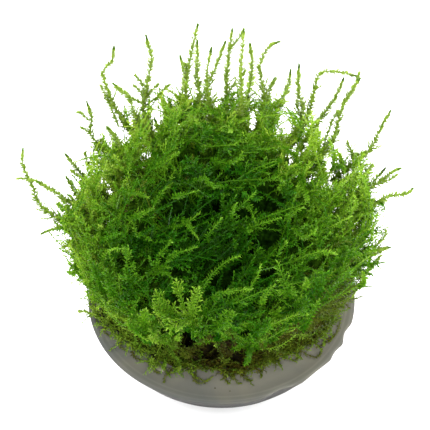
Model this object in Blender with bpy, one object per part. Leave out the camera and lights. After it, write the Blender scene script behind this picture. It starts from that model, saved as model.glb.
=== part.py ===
"""A clump of creeping water moss, grown as a dome on the disc of jelly it was raised on.

The clump is built in millimetres in its own frame: the middle of the jelly's flat
underside is the origin, +Z is up and -Y is the side that faces the viewer.
"""
import math
import random

import bmesh
import bpy
import numpy as np
from mathutils import Matrix, Vector
from mathutils.bvhtree import BVHTree

MM = 0.001
SEED = 41
GAP = 0.3

GEL_TOP_RADIUS = 30.0
GEL_FOOT_RADIUS = 24.2
GEL_HEIGHT = 10.0
GEL_EDGE_ROUND = 4.5
# The low lip round its top, and the slope from the lip down to the flat inside of the top.
GEL_LIP_WIDTH = 1.8
GEL_LIP_HEIGHT = 0.4
GEL_LIP_SLOPE = 3.0
GEL_SIDES = 60
GEL_ARC_STEPS = 3
# Each chip in the rim: its bearing in degrees, its depth and its half width in degrees.
GEL_CHIPS = ((-64.0, 1.0, 11.0), (-46.0, 0.45, 12.0), (-32.5, 0.5, 6.0), (-21.0, 0.75, 7.0))
# How much of a chip's depth reaches the rounded foot, the lip's inner edge and the slope's end.
FOOT_CHIP_SHARE = 0.5
LIP_CHIP_SHARE = 0.6
SLOPE_CHIP_SHARE = 0.15
GEL_SHARP_ANGLE = math.radians(40.0)

HEART_Z = 22.0
# The dome's shape by the angle down from straight up, in degrees: how far the dense moss and the
# tips of its tufts reach from the heart.
DOME_ANGLES = (0.0, 30.0, 51.0, 65.0, 80.0, 90.0, 97.0, 120.0)
DENSE_REACHES = (23.0, 25.0, 27.5, 28.0, 28.0, 27.0, 26.5, 27.0)
TIP_REACHES = (31.0, 33.2, 36.0, 36.0, 35.0, 32.0, 29.8, 29.6)
DOME_POINTS = 430
DOME_JITTER = 0.032
# The front stands steeper: this share of its reach is cut off low down, and none of it high up.
FRONT_CUT = 0.2
FRONT_CUT_FULL_Z = 30.0
FRONT_CUT_TOP_Z = 46.0

TUFT_LOWEST_Z = 12.0
TUFT_VARIATION = 0.05
TUFT_LIFT = 0.12
TUFT_BEND = 0.55
# The tufts lean this way and that in slow waves over the dome.
TUFT_SWAY = 0.05
SWAY_PITCH_X = 0.17
SWAY_PITCH_Y = 0.19
SWAY_PHASE = 1.0
# Rings of a tuft: how far along it, and how wide against its root.
TUFT_RINGS = ((0.30, 0.86), (0.42, 0.46), (0.70, 0.56))

LEAF_PITCH = 2.2
LEAF_REACH = 0.85
STEM_RADIUS = 0.38
LEAF_FLARE = 0.72
STEM_TURN = math.radians(40.0)
FLARE_TURN = math.radians(20.0)
ROUTE_STEP = 0.4
FOOT_SAMPLES = 4
TIP_TAPER = 4.0
TIP_NARROWEST = 0.45
# A long shoot's route starts this share of the way from its first point to the heart.
ROOT_SINK = 0.25
RAY_STEP = 1e-4

GEL_COLOUR = (0.34, 0.36, 0.31)
MOSS_COLOUR = (0.09, 0.19, 0.02)
SHOOT_COLOUR = (0.22, 0.42, 0.06)

# The long shoots are drawn on a plane that leans back as the viewer sees it: right, up and
# towards the viewer.
VIEW_ELEVATION = math.radians(51.4)

LONG_SHOOTS = (
    ("shoot_left_1", ((-35, 22, 21), (-40.5, 26.5, 21), (-41, 29, 21), (-43.5, 34, 21), (-43.5, 37.5, 21))),
    ("shoot_left_2", ((-32, 25, 25), (-36, 28, 25), (-39.5, 30, 25))),
    ("shoot_left_3", ((-32, 20.5, 26), (-36, 20, 26), (-38.5, 19, 26))),
    ("shoot_left_4", ((-31, 26.5, 18), (-33, 30, 18.5), (-34, 31.5, 19))),
    ("shoot_left_5", ((-28, 40, 13), (-29.5, 42.5, 13.5), (-29, 45, 14), (-30, 48.5, 15.5))),
    ("shoot_left_6", ((-21, 36, 27), (-23, 40, 27.5), (-24.5, 41.5, 28))),
    (
        "shoot_left_7",
        ((-22.5, 45.5, 14), (-24.5, 49, 15), (-26.5, 55, 17), (-24.5, 57.5, 17.5), (-24, 60.5, 18.5)),
    ),
    ("shoot_top_1", ((-17, 45, 19), (-17, 49.5, 20.5), (-15.5, 57, 24), (-16.5, 61.5, 26.5))),
    ("shoot_top_2", ((-19, 45, 24), (-20.5, 49, 24), (-23.5, 51.5, 24))),
    ("shoot_top_3", ((-8, 50, 15), (-8, 53.5, 16.5), (-6.5, 61, 19.5), (-5.5, 65, 21))),
    ("shoot_top_4", ((-5, 49, 21), (-5.5, 54, 23), (-5.5, 60.5, 26))),
    ("shoot_top_5", ((-9, 51, 10), (-8.5, 55, 10.5), (-9.5, 59.5, 11.5))),
    ("shoot_top_6", ((-3, 49, 26), (-3.5, 53, 27), (-2.5, 58.5, 28.5))),
    ("shoot_top_7", ((-3.5, 52, 12), (-1.5, 57, 12.5), (0.5, 62.5, 13))),
    ("shoot_top_8", ((1, 48, 20), (1, 55.5, 23), (2, 63, 26.5))),
    ("shoot_top_9", ((4, 48, 28), (4, 56, 28.5), (4.5, 62.5, 29))),
    ("shoot_top_10", ((5.5, 50, 13), (6.5, 55.5, 17), (6, 61, 20))),
    ("shoot_top_11", ((9, 48, 22), (8, 55.5, 24.5), (10, 59.5, 26.5), (12, 60.5, 26.5))),
    ("shoot_top_12", ((10, 50, 15), (11.5, 54, 16))),
    ("shoot_right_1", ((12.5, 48.5, 13), (14.5, 52, 15), (15, 55.5, 17))),
    ("shoot_right_2", ((17.5, 45, 20), (16.5, 50.5, 22.5), (16.5, 55.5, 25.5))),
    ("shoot_right_3", ((18.5, 45, 15), (20, 50, 16), (21.5, 55, 17), (25.5, 55.5, 17), (29.5, 54.5, 17))),
    ("shoot_right_4", ((24, 40, 22), (25.5, 45.5, 23.5), (27, 49, 24.5), (29.5, 52.5, 26))),
    ("shoot_right_5", ((22, 46, 9), (25, 50, 10), (27, 54.5, 11.5))),
    ("shoot_right_6", ((31.5, 37, 20), (34.5, 42.5, 21), (36.5, 46, 22))),
    ("shoot_right_7", ((33, 30, 17), (37, 33, 17.5), (39, 34, 17.5))),
    ("shoot_right_8", ((32, 25, 24), (36, 27.5, 24), (39.5, 28, 24), (41, 29, 24))),
    ("shoot_right_9", ((31, 15, 20), (33.5, 16, 20), (36.5, 16.5, 20))),
)

# Shoots round the back: bearing in degrees, root height, reach from the axis and tip height.
BACK_SHOOTS = (
    (28.0, 22.0, 41.0, 31.0),
    (47.0, 28.0, 38.5, 34.0),
    (62.0, 18.0, 39.0, 24.0),
    (81.0, 25.0, 39.5, 27.0),
    (97.0, 17.0, 41.0, 20.0),
    (114.0, 26.0, 38.0, 31.0),
    (131.0, 20.0, 41.5, 27.0),
    (152.0, 27.0, 39.0, 36.0),
)
BACK_ROOT_RADIUS = 28.5
BACK_BEND_SHARE = 0.55
BACK_SAG = 0.12


def leaf_material(name, colour, roughness):
    """Return a Principled material of one colour for a soft, unpolished surface."""
    material = bpy.data.materials.new(name)
    material.use_nodes = True
    shader = material.node_tree.nodes["Principled BSDF"]
    shader.inputs["Base Color"].default_value = (*colour, 1.0)
    shader.inputs["Roughness"].default_value = roughness
    shader.inputs["Metallic"].default_value = 0.0
    return material


def gel_material():
    """Return the cloudy, partly see-through jelly."""
    material = leaf_material("nutrient_gel", GEL_COLOUR, 0.25)
    shader = material.node_tree.nodes["Principled BSDF"]
    shader.inputs["IOR"].default_value = 1.34
    shader.inputs["Transmission Weight"].default_value = 0.35
    return material


def add_object(name, bm, material):
    """Turn a bmesh in millimetres into a named object in metres."""
    bmesh.ops.scale(bm, vec=(MM, MM, MM), verts=bm.verts)
    bmesh.ops.recalc_face_normals(bm, faces=bm.faces)
    mesh = bpy.data.meshes.new(name)
    bm.to_mesh(mesh)
    bm.free()
    mesh.materials.append(material)
    mesh.shade_smooth()
    obj = bpy.data.objects.new(name, mesh)
    bpy.context.collection.objects.link(obj)
    return obj


def chip_depth(bearing):
    """Return how far the rim is broken back at a bearing in degrees."""
    depth = 0.0
    for middle, deepest, half_width in GEL_CHIPS:
        offset = abs(bearing - middle) / half_width
        if offset < 1.0:
            depth = max(depth, deepest * 0.5 * (1.0 + math.cos(math.pi * offset)))
    return depth


def gel_profile():
    """Return the outline of the disc from the flat foot to the inner surface of its top.

    Each point is its radius, its height and its share of the chips in the rim.
    """
    slope = math.atan2(GEL_HEIGHT, GEL_TOP_RADIUS - GEL_FOOT_RADIUS)
    inset = GEL_EDGE_ROUND * math.tan(slope / 2.0)
    arc_radius = GEL_FOOT_RADIUS - inset
    points = []
    for step in range(GEL_ARC_STEPS + 1):
        angle = slope * step / GEL_ARC_STEPS
        radius = arc_radius + GEL_EDGE_ROUND * math.sin(angle)
        height = GEL_EDGE_ROUND * (1.0 - math.cos(angle))
        points.append((radius, height, FOOT_CHIP_SHARE * height / GEL_HEIGHT))
    lip_radius = GEL_TOP_RADIUS - GEL_LIP_WIDTH
    points.append((GEL_TOP_RADIUS, GEL_HEIGHT, 1.0))
    points.append((lip_radius, GEL_HEIGHT, LIP_CHIP_SHARE))
    points.append((lip_radius - GEL_LIP_SLOPE, GEL_HEIGHT - GEL_LIP_HEIGHT, SLOPE_CHIP_SHARE))
    return points


def make_gel_disc(material):
    """Build the jelly disc: a turned shape with a rounded foot, a low lip and a chipped rim."""
    bm = bmesh.new()
    rings = []
    for radius, height, share in gel_profile():
        ring = []
        for side in range(GEL_SIDES):
            bearing = 360.0 * side / GEL_SIDES - 180.0
            reach = radius - share * chip_depth(bearing)
            turn = math.radians(bearing)
            ring.append(bm.verts.new((reach * math.cos(turn), reach * math.sin(turn), height)))
        rings.append(ring)
    for lower, upper in zip(rings, rings[1:]):
        for side in range(GEL_SIDES):
            other = (side + 1) % GEL_SIDES
            bm.faces.new((lower[side], lower[other], upper[other], upper[side]))
    bm.faces.new(list(reversed(rings[0])))
    bm.faces.new(rings[-1])
    disc = add_object("gel_disc", bm, material)
    disc.data.set_sharp_from_angle(angle=GEL_SHARP_ANGLE)
    return disc


def reach_in(direction, reaches):
    """Return how far one of the dome's two surfaces lies from the heart in a direction."""
    polar = math.degrees(math.acos(max(-1.0, min(1.0, direction.z))))
    return float(np.interp(polar, DOME_ANGLES, reaches))


def in_dome(direction, reach):
    """Return the point at this reach from the heart, pulled back low down at the front."""
    height = HEART_Z + direction.z * reach
    level = math.hypot(direction.x, direction.y)
    front = max(0.0, -direction.y) / level if level > 0.0 else 0.0
    low = (FRONT_CUT_TOP_Z - height) / (FRONT_CUT_TOP_Z - FRONT_CUT_FULL_Z)
    cut = 1.0 - FRONT_CUT * front * max(0.0, min(1.0, low))
    return Vector((direction.x * reach * cut, direction.y * reach * cut, height))


def scatter_ball(bm, rng):
    """Fill a bmesh with a unit ball whose corners lie on a slightly uneven golden spiral."""
    golden_angle = math.pi * (3.0 - math.sqrt(5.0))
    for index in range(DOME_POINTS):
        height = 1.0 - 2.0 * (index + 0.5) / DOME_POINTS
        ring = math.sqrt(1.0 - height * height)
        turn = golden_angle * index
        spot = Vector((ring * math.cos(turn), ring * math.sin(turn), height))
        nudge = Vector([rng.uniform(-DOME_JITTER, DOME_JITTER) for _ in range(3)])
        bm.verts.new((spot + nudge).normalized())
    bmesh.ops.convex_hull(bm, input=bm.verts)


def shape_dome(bm, foot_z):
    """Pull a unit ball into the dense dome, flat below, and return each corner's direction."""
    directions = {}
    for vert in bm.verts:
        direction = vert.co.normalized()
        directions[vert] = direction
        reach = reach_in(direction, DENSE_REACHES)
        if direction.z < 0.0:
            reach = min(reach, (HEART_Z - foot_z) / -direction.z)
        vert.co = in_dome(direction, reach)
    return directions


def choose_tuft_faces(bm, rng):
    """Pick faces of the dome that share no edge, so that each tuft has a root of its own."""
    faces = [face for face in bm.faces if face.calc_center_median().z > TUFT_LOWEST_Z]
    rng.shuffle(faces)
    taken = set()
    chosen = []
    for face in faces:
        edges = {edge.index for edge in face.edges}
        if edges & taken:
            continue
        taken |= edges
        chosen.append(face)
    return chosen


def tuft_axis(root, direction, rng):
    """Return the tip of a tuft and the point its bend pulls towards."""
    polar = math.acos(max(-1.0, min(1.0, direction.z)))
    sway_x = math.sin(root.y * SWAY_PITCH_Y + SWAY_PHASE)
    sway_y = math.cos(root.x * SWAY_PITCH_X)
    sway = Vector((sway_x, sway_y, 0.0)) * TUFT_SWAY
    lift = Vector((0.0, 0.0, TUFT_LIFT * math.sin(polar)))
    leaned = (direction + lift + sway).normalized()
    reach = reach_in(leaned, TIP_REACHES) * rng.uniform(1.0 - TUFT_VARIATION, 1.0 + TUFT_VARIATION)
    tip = in_dome(leaned, reach)
    bend = root + direction * (tip - root).length * TUFT_BEND
    return tip, bend


def grow_tuft(bm, face, direction, rng):
    """Extrude one face of the dome into a bent, stepped and pointed tuft of shoots."""
    root = face.calc_center_median()
    tip, bend = tuft_axis(root, direction, rng)
    offsets = [vert.co - root for vert in face.verts]
    below = list(face.verts)
    bm.faces.remove(face)
    for along, width in TUFT_RINGS:
        middle = root.lerp(bend, along).lerp(bend.lerp(tip, along), along)
        ring = [bm.verts.new(middle + offset * width) for offset in offsets]
        for index in range(len(ring)):
            other = (index + 1) % len(ring)
            bm.faces.new((below[index], below[other], ring[other], ring[index]))
        below = ring
    point = bm.verts.new(tip)
    for index in range(len(below)):
        bm.faces.new((below[index], below[(index + 1) % len(below)], point))


def make_cushion(material, rng):
    """Build the dense dome of matted shoots with its tufts fused to it."""
    bm = bmesh.new()
    scatter_ball(bm, rng)
    directions = shape_dome(bm, GEL_HEIGHT - GEL_LIP_HEIGHT + GAP)
    bm.edges.index_update()
    for face in choose_tuft_faces(bm, rng):
        middle = sum((directions[vert] for vert in face.verts), Vector()).normalized()
        grow_tuft(bm, face, middle, rng)
    return add_object("moss_cushion", bm, material)


def from_view(right, up, toward):
    """Turn a point on the leaning drawing plane into the clump's own frame."""
    sin_e = math.sin(VIEW_ELEVATION)
    cos_e = math.cos(VIEW_ELEVATION)
    return Vector((right, sin_e * up - cos_e * toward, cos_e * up + sin_e * toward))


def smooth_route(points, step):
    """Return closely spaced points on a smooth curve through the given ones."""
    ends = [points[0] * 2.0 - points[1]] + list(points) + [points[-1] * 2.0 - points[-2]]
    route = []
    for index in range(1, len(ends) - 2):
        before, start, end, after = ends[index - 1:index + 3]
        count = max(2, int((end - start).length / step))
        for part in range(count):
            t = part / count
            route.append(0.5 * (
                2.0 * start
                + (end - before) * t
                + (2.0 * before - 5.0 * start + 4.0 * end - after) * t * t
                + (3.0 * start - before - 3.0 * end + after) * t * t * t
            ))
    route.append(points[-1].copy())
    return route


def surface_tree(obj):
    """Return a search tree of a piece's surface, in millimetres."""
    verts = [vert.co / MM for vert in obj.data.vertices]
    faces = [tuple(polygon.vertices) for polygon in obj.data.polygons]
    return BVHTree.FromPolygons(verts, faces)


def is_inside(point, tree):
    """Tell whether a point lies inside a closed piece, by counting the faces straight above it."""
    upward = Vector((0.0, 0.0, 1.0))
    crossings = 0
    start = point.copy()
    while True:
        hit = tree.ray_cast(start, upward)[0]
        if hit is None:
            return crossings % 2 == 1
        crossings += 1
        start = hit + upward * RAY_STEP


def is_clear(point, trees, radius):
    """Tell whether a stem of this radius stays the usual gap off every other piece."""
    for tree in trees:
        if tree.find_nearest(point)[3] < radius + GAP or is_inside(point, tree):
            return False
    return True


def free_part(route, trees):
    """Cut a route back to the stretch that runs clear of the other pieces to its tip.

    Its bare foot may come nearer to them than its leaves do.
    """
    start = len(route) - 1
    while start > 0 and is_clear(route[start - 1], trees, LEAF_REACH):
        start -= 1
    lowest = max(0, start - FOOT_SAMPLES)
    while start > lowest and is_clear(route[start - 1], trees, STEM_RADIUS):
        start -= 1
    return route[start:]


def even_points(route, spacing):
    """Return points at an even spacing along a route, with its tip last."""
    total = sum((b - a).length for a, b in zip(route, route[1:]))
    count = max(2, round(total / spacing))
    wanted = [total * index / count for index in range(count + 1)]
    points = []
    travelled = 0.0
    segment = 0
    for distance in wanted:
        while segment < len(route) - 2:
            length = (route[segment + 1] - route[segment]).length
            if travelled + length >= distance:
                break
            travelled += length
            segment += 1
        length = max((route[segment + 1] - route[segment]).length, 1e-6)
        share = min(1.0, (distance - travelled) / length)
        points.append(route[segment].lerp(route[segment + 1], share))
    return points


def leaf_ring(bm, middle, axis, radius, turn):
    """Add a three-cornered ring round a stem."""
    side = axis.orthogonal().normalized()
    corners = []
    for corner in range(3):
        spin = Matrix.Rotation(turn + corner * math.tau / 3.0, 3, axis)
        corners.append(bm.verts.new(middle + spin @ side * radius))
    return corners


def make_shoot(name, route, material):
    """Build one stem with its leaves as whorls that open upwards, ending in a point."""
    points = even_points(route, LEAF_PITCH)
    count = len(points) - 1
    bm = bmesh.new()
    rings = []
    for index in range(count):
        here = points[index]
        axis = (points[index + 1] - here).normalized()
        left = (count - index) * LEAF_PITCH
        taper = min(1.0, TIP_NARROWEST + (1.0 - TIP_NARROWEST) * left / TIP_TAPER)
        turn = STEM_TURN * index
        rings.append(leaf_ring(bm, here, axis, STEM_RADIUS * taper, turn))
        flare = here.lerp(points[index + 1], LEAF_FLARE)
        rings.append(leaf_ring(bm, flare, axis, LEAF_REACH * taper, turn + FLARE_TURN))
    for lower, upper in zip(rings, rings[1:]):
        for corner in range(3):
            other = (corner + 1) % 3
            bm.faces.new((lower[corner], lower[other], upper[other], upper[corner]))
    bm.faces.new(list(reversed(rings[0])))
    tip = bm.verts.new(points[-1])
    for corner in range(3):
        bm.faces.new((rings[-1][corner], rings[-1][(corner + 1) % 3], tip))
    bmesh.ops.triangulate(bm, faces=bm.faces)
    return add_object(name, bm, material)


def back_route(bearing, root_z, reach, tip_z):
    """Return the points of a shoot that leans out and up on the side away from the viewer."""
    turn = math.radians(bearing)
    outward = Vector((math.cos(turn), math.sin(turn), 0.0))
    root = outward * BACK_ROOT_RADIUS
    root.z = root_z
    tip = outward * reach
    tip.z = tip_z
    sag = Vector((0.0, 0.0, -BACK_SAG * (reach - BACK_ROOT_RADIUS)))
    middle = root.lerp(tip, BACK_BEND_SHARE) + sag
    return [root, middle, tip]


def long_routes():
    """Yield the name and the points of every long shoot."""
    for name, drawn in LONG_SHOOTS:
        yield name, [from_view(*point) for point in drawn]
    for number, values in enumerate(BACK_SHOOTS, start=1):
        yield f"shoot_back_{number}", back_route(*values)


def make_long_shoots(material, cushion):
    """Grow each long shoot from the dome's surface, clear of the tufts and of each other."""
    heart = Vector((0.0, 0.0, HEART_Z))
    trees = [surface_tree(cushion)]
    for name, points in long_routes():
        anchor = points[0].lerp(heart, ROOT_SINK)
        route = free_part(smooth_route([anchor] + points, ROUTE_STEP), trees)
        shoot = make_shoot(name, route, material)
        trees.append(surface_tree(shoot))


def main():
    for obj in list(bpy.data.objects):
        bpy.data.objects.remove(obj, do_unlink=True)
    rng = random.Random(SEED)
    make_gel_disc(gel_material())
    cushion = make_cushion(leaf_material("moss_green", MOSS_COLOUR, 0.6), rng)
    make_long_shoots(leaf_material("shoot_green", SHOOT_COLOUR, 0.55), cushion)


main()
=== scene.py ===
import math

import bmesh
import bpy
import numpy as np
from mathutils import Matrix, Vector


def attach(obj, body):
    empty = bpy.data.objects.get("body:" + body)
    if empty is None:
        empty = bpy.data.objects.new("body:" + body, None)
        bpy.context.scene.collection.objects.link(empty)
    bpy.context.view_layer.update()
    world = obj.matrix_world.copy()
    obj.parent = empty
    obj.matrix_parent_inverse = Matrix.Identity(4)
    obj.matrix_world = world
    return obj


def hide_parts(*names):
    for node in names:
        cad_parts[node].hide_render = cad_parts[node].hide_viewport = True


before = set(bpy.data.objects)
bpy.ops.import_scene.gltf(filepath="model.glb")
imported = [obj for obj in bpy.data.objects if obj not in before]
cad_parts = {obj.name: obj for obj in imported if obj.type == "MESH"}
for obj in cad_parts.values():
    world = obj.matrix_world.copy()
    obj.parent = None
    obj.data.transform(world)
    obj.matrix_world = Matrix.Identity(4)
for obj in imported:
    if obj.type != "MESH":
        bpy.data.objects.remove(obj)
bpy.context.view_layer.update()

# Everything below is worked out in millimetres and turned into metres when a mesh is made.
MM = 0.001
TAU = math.tau
GOLDEN_ANGLE = math.pi * (3.0 - math.sqrt(5.0))

# The clump's driving sizes, the same as its solids have.
GEL_TOP_RADIUS = 30.0
GEL_FOOT_RADIUS = 24.2
GEL_HEIGHT = 10.0
GEL_EDGE_ROUND = 4.5
# The gel's outline: how far inside and below its rim the side ends, the radii of the rings on its
# top, and how many points the foot's round edge, its side and each ring have.
GEL_SIDE_END = (0.1, 0.35)
GEL_TOP_RINGS = (23, 18, 12, 6, 1)
GEL_EDGE_STEPS = 9
GEL_SIDE_STEPS = 6
GEL_RING_STEPS = 240
# How far the gel's middle lies below its rim, and the height that the moss stands on.
GEL_LIP_HEIGHT = 0.4
FOOT_Z = GEL_HEIGHT - GEL_LIP_HEIGHT
# The rim from its outside inwards: how far in, how far down, and its share of the chips.
GEL_LIP = (
    (0.15, 0.1, 1), (0.5, 0, 1), (1.2, 0.02, 0.8), (1.8, 0.08, 0.6), (2.52, 0.2, 0.5), (3.6, 0.31, 0.3),
    (4.86, 0.37, 0.15),
)
# Each chip in the rim: its bearing in degrees, its depth and its half width in degrees.
GEL_CHIPS = ((-64, 1, 11), (-46, 0.45, 12), (-32.5, 0.5, 6), (-21, 0.75, 7))

# The dense moss's reach from its heart, by the angle down from straight up in degrees.
HEART = np.array((0.0, 0.0, 22.0))
DOME_ANGLES = (0, 30, 51, 65, 80, 86, 90, 97, 120)
DOME_REACHES = (31.0, 33.2, 36.0, 36.0, 35.0, 33.4, 31.8, 29.4, 29.4)
# The height of the lowest direction, at length 1, that the coat grows in.
DOME_LOWEST = -0.45
# The matted inside fills this share of the reach, and so much less at the outline.
INSIDE_SHARE = 0.74
INSIDE_THINNING = 0.1
# Nothing of the dome lies lower over the gel than this.
DOME_CLEARANCE = 0.5
# Lobes in the outline: the bearing on the drawing plane, the extra reach and the half width in degrees.
LOBES = ((33, 2.2, 9), (44, -2.6, 8), (112, 4.5, 17), (150, -1.2, 12), (168, 1.6, 8))
# The front stands steeper: this share of its reach is cut off low down, and none of it high up.
FRONT_CUT = 0.2
FRONT_CUT_FULL_Z = 30.0
FRONT_CUT_TOP_Z = 46.0
# Round the back the moss is old and olive brown below this height, and its foot reaches so far out.
OLD_TOP_Z = 16.5
BACK_FOOT_REACH = 28.7
# How many shoots, sprays, stray shoots and short shoots at the foot grow by rule.
COAT_COUNT = 2700
SPRAY_COUNT = 400
STRAY_COUNT = 420
RIM_COUNT = 1500
# Where they root and end, as shares of the dome's reach. The coat's roots lie up to this share above
# or below the surface of the inside.
COAT_ROOT_SPREAD = 0.06
COAT_TIP_SHARES = (0.85, 1.03)
SPRAY_ROOT_SHARES = (0.78, 0.88)
SPRAY_TIP_SHARES = (0.95, 1.06)
STRAY_ROOT_SHARES = (0.8, 0.9)
STRAY_TIP_SHARE = 0.99
STRAY_TIP_SPREAD = 0.11
# The short shoots at the foot: how deep in the moss and how far inside its foot line they root, their
# lengths, and how far over the gel they stay, and then the ones that lie on it.
RIM_DEPTH = 3.0
RIM_INSET = 1.2
RIM_LENGTHS = (1.8, 4.8)
RIM_CLEARANCE = 0.3
LYING_CLEARANCE = 0.35

# The viewer looks down at this angle from this far off. The photographed side is traced, to the right
# and up, on the drawing plane, which faces the viewer and passes through the middle of the gel's foot.
VIEW_ELEVATION = math.radians(51.4)
VIEW_DISTANCE = 400.0
SINE, COSINE = math.sin(VIEW_ELEVATION), math.cos(VIEW_ELEVATION)
TO_RIGHT = np.array((1.0, 0.0, 0.0))
TO_TOP = np.array((0.0, SINE, COSINE))
TO_VIEWER = np.array((0.0, -COSINE, SINE))
TO_FRONT = np.array((0.0, -1.0, 0.0))
UPRIGHT = np.array((0.0, 0.0, 1.0))
# The camera stands at the viewer's place. Its lens and sensor are in millimetres too.
CAMERA_LENS = 146.1
CAMERA_SENSOR = 36.0
CAMERA_AIM = np.array((-1.6, 19.3, 15.4))
# The lamps, in metres and watts: name, place, size and power. They all face one point.
LAMPS = (
    ("left", (-0.55, 0.1, 0.55), 0.7, 9.6), ("right", (0.6, 0.1, 0.4), 0.7, 7.5),
    ("back", (0.0, 0.6, 0.5), 1.2, 18.0), ("front", (0.05, -0.6, 0.4), 0.2, 5.5),
)
LAMP_AIM = (0.0, 0.0, 0.02)
SKY_STRENGTH = 0.62
# Half the floor's width and how far it lies below the gel, in metres, and its shade.
FLOOR_HALF = 3.0
FLOOR_DROP = 0.0002
FLOOR_SHADE = 0.93

# The moss is painted darker, deeper green round this direction from the heart, which leans towards the
# viewer: painted shade over the middle of the clump.
SHADED_POLE = np.array((0.0, -0.35, 0.94))

# The free shoots, each through points to the right, up and towards the viewer.
LONG_SHOOTS = {
    "left": (
        ((-35, 22, 21), (-40.5, 26.5, 21), (-41, 29, 21), (-43.5, 34, 21), (-43.5, 37.5, 21)),
        ((-32, 25, 25), (-36, 28, 25), (-39.5, 30, 25)),
        ((-32, 20.5, 26), (-36, 20, 26), (-38.5, 19, 26)),
        ((-31, 26.5, 18), (-33, 30, 18.5), (-34, 31.5, 19)),
        ((-28, 40, 13), (-29.5, 42.5, 13.5), (-29, 45, 14), (-30, 48.5, 15.5)),
        ((-21, 36, 27), (-23, 40, 27.5), (-24.5, 41.5, 28)),
        ((-22.5, 45.5, 14), (-24.5, 49, 15), (-26.5, 55, 17), (-24.5, 57.5, 17.5), (-24, 60.5, 18.5)),
    ),
    "top": (
        ((-17, 45, 19), (-17, 49.5, 20.5), (-15.5, 57, 24), (-16.5, 61.5, 26.5)),
        ((-19, 45, 24), (-20.5, 49, 24), (-23.5, 51.5, 24)),
        ((-8, 50, 15), (-8, 53.5, 16.5), (-6.5, 61, 19.5), (-5.5, 65, 21)),
        ((-5, 49, 21), (-5.5, 54, 23), (-5.5, 60.5, 26)),
        ((-9, 51, 10), (-8.5, 55, 10.5), (-9.5, 59.5, 11.5)),
        ((-3, 49, 26), (-3.5, 53, 27), (-2.5, 58.5, 28.5)),
        ((-3.5, 52, 12), (-1.5, 57, 12.5), (0.5, 62.5, 13)), ((1, 48, 20), (1, 55.5, 23), (2, 63, 26.5)),
        ((4, 48, 28), (4, 56, 28.5), (4.5, 62.5, 29)), ((5.5, 50, 13), (6.5, 55.5, 17), (6, 61, 20)),
        ((9, 48, 22), (8, 55.5, 24.5), (10, 59.5, 26.5), (12, 60.5, 26.5)),
        ((10, 50, 15), (11.5, 54, 16)),
    ),
    "right": (
        ((12.5, 48.5, 13), (14.5, 52, 15), (15, 55.5, 17)),
        ((17.5, 45, 20), (16.5, 50.5, 22.5), (16.5, 55.5, 25.5)),
        ((18.5, 45, 15), (20, 50, 16), (21.5, 55, 17), (25.5, 55.5, 17), (29.5, 54.5, 17)),
        ((24, 40, 22), (25.5, 45.5, 23.5), (27, 49, 24.5), (29.5, 52.5, 26)),
        ((22, 46, 9), (25, 50, 10), (27, 54.5, 11.5)), ((31.5, 37, 20), (34.5, 42.5, 21), (36.5, 46, 22)),
        ((33, 30, 17), (37, 33, 17.5), (39, 34, 17.5)),
        ((32, 25, 24), (36, 27.5, 24), (39.5, 28, 24), (41, 29, 24)),
        ((31, 15, 20), (33.5, 16, 20), (36.5, 16.5, 20)),
    ),
}
# Free shoots round the back: bearing in degrees, root height, reach from the axis and tip height.
BACK_SHOOTS = (
    (28, 22, 41, 31), (47, 28, 38.5, 34), (62, 18, 39, 24), (81, 25, 39.5, 27), (97, 17, 41, 20),
    (114, 26, 38, 31), (131, 20, 41.5, 27), (152, 27, 39, 36),
)
BACK_ROOT_RADIUS = 28.5
# The last points of a free shoot's route, which its bud covers.
BUD_STEPS = 2
# Free shoots whose tips are drawn above this height are paler.
PALE_HEIGHT = 50.0

# Each row below holds the places of a shoot's root, middle and tip, and in some tables its depth.
# Side twigs of the free shoots and small free tips of the coat, with their depths.
FREE_TWIGS = (
    (-44.3, 32.5, -45.4, 32.8, -46.8, 32.9, 21), (-39.3, 30.2, -41.7, 31.8, -43.9, 32.5, 22),
    (-31.2, 46.7, -32.1, 47.7, -33, 48.2, 13.5), (-30.7, 43.4, -31.4, 44.1, -32.3, 44.6, 13),
    (-24.8, 47, -26.2, 50.4, -28, 54.3, 15), (-18.4, 54.8, -19.2, 55.7, -20.1, 56.8, 21),
    (-18.6, 52.7, -19.4, 53.6, -20.2, 54.3, 20), (-20, 51.2, -22.3, 52.4, -24.4, 53.8, 19),
    (-17.4, 52.2, -16.3, 53.4, -14.9, 54.8, 20), (-14.9, 51.8, -13.9, 53.2, -12.7, 54.5, 19),
    (-17.2, 50.2, -15.8, 51.3, -14.5, 51.8, 19), (2, 63.8, 3.4, 65.3, 4.6, 67.4, 25),
    (1.6, 53.7, 2.2, 54.3, 2.8, 55.2, 21.5), (1.7, 52.5, 2.7, 52.9, 3.9, 53.2, 21),
    (28.5, 51.6, 30.5, 54.5, 31.4, 57.3, 22), (23.8, 41.7, 24.7, 45.1, 26.3, 48.3, 18),
    (17.5, 48.8, 17.3, 49.7, 17.1, 50.6, 14), (36.7, 32.4, 38.3, 33, 39.9, 33.9, 17.5),
    (30.3, 38.9, 29.5, 40, 28.9, 41.4, 19), (30.5, 37.8, 31.6, 38.9, 33, 39.4, 19),
    (33.6, 34.4, 33.9, 35.3, 34.5, 36.3, 18), (35.5, 18.5, 36.9, 19.3, 37.6, 21.1, 20),
    (33, 14.6, 35.3, 16, 37.6, 17.2, 19), (31.2, 8, 33.4, 11.7, 36.2, 15.3, 17),
    (-33, 18.1, -34.6, 17.7, -36.2, 17.2, 20), (-31.4, 9.4, -32.7, 11.2, -33.7, 13.5, 18),
    (-29.6, 1.8, -31, 2.3, -32.3, 2.5, 14), (10.1, 53.2, 11.2, 54.8, 12.2, 56.1, 22),
    (-23.9, 40.8, -25.2, 42.6, -26.4, 44.7, 15), (-30.2, 35.2, -31.2, 37, -31.5, 38.8, 15),
    (-31.8, 32.4, -33.1, 33.5, -34.6, 34.7, 18), (-29.3, 39.9, -28.5, 41, -27.5, 42.3, 13),
)
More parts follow.
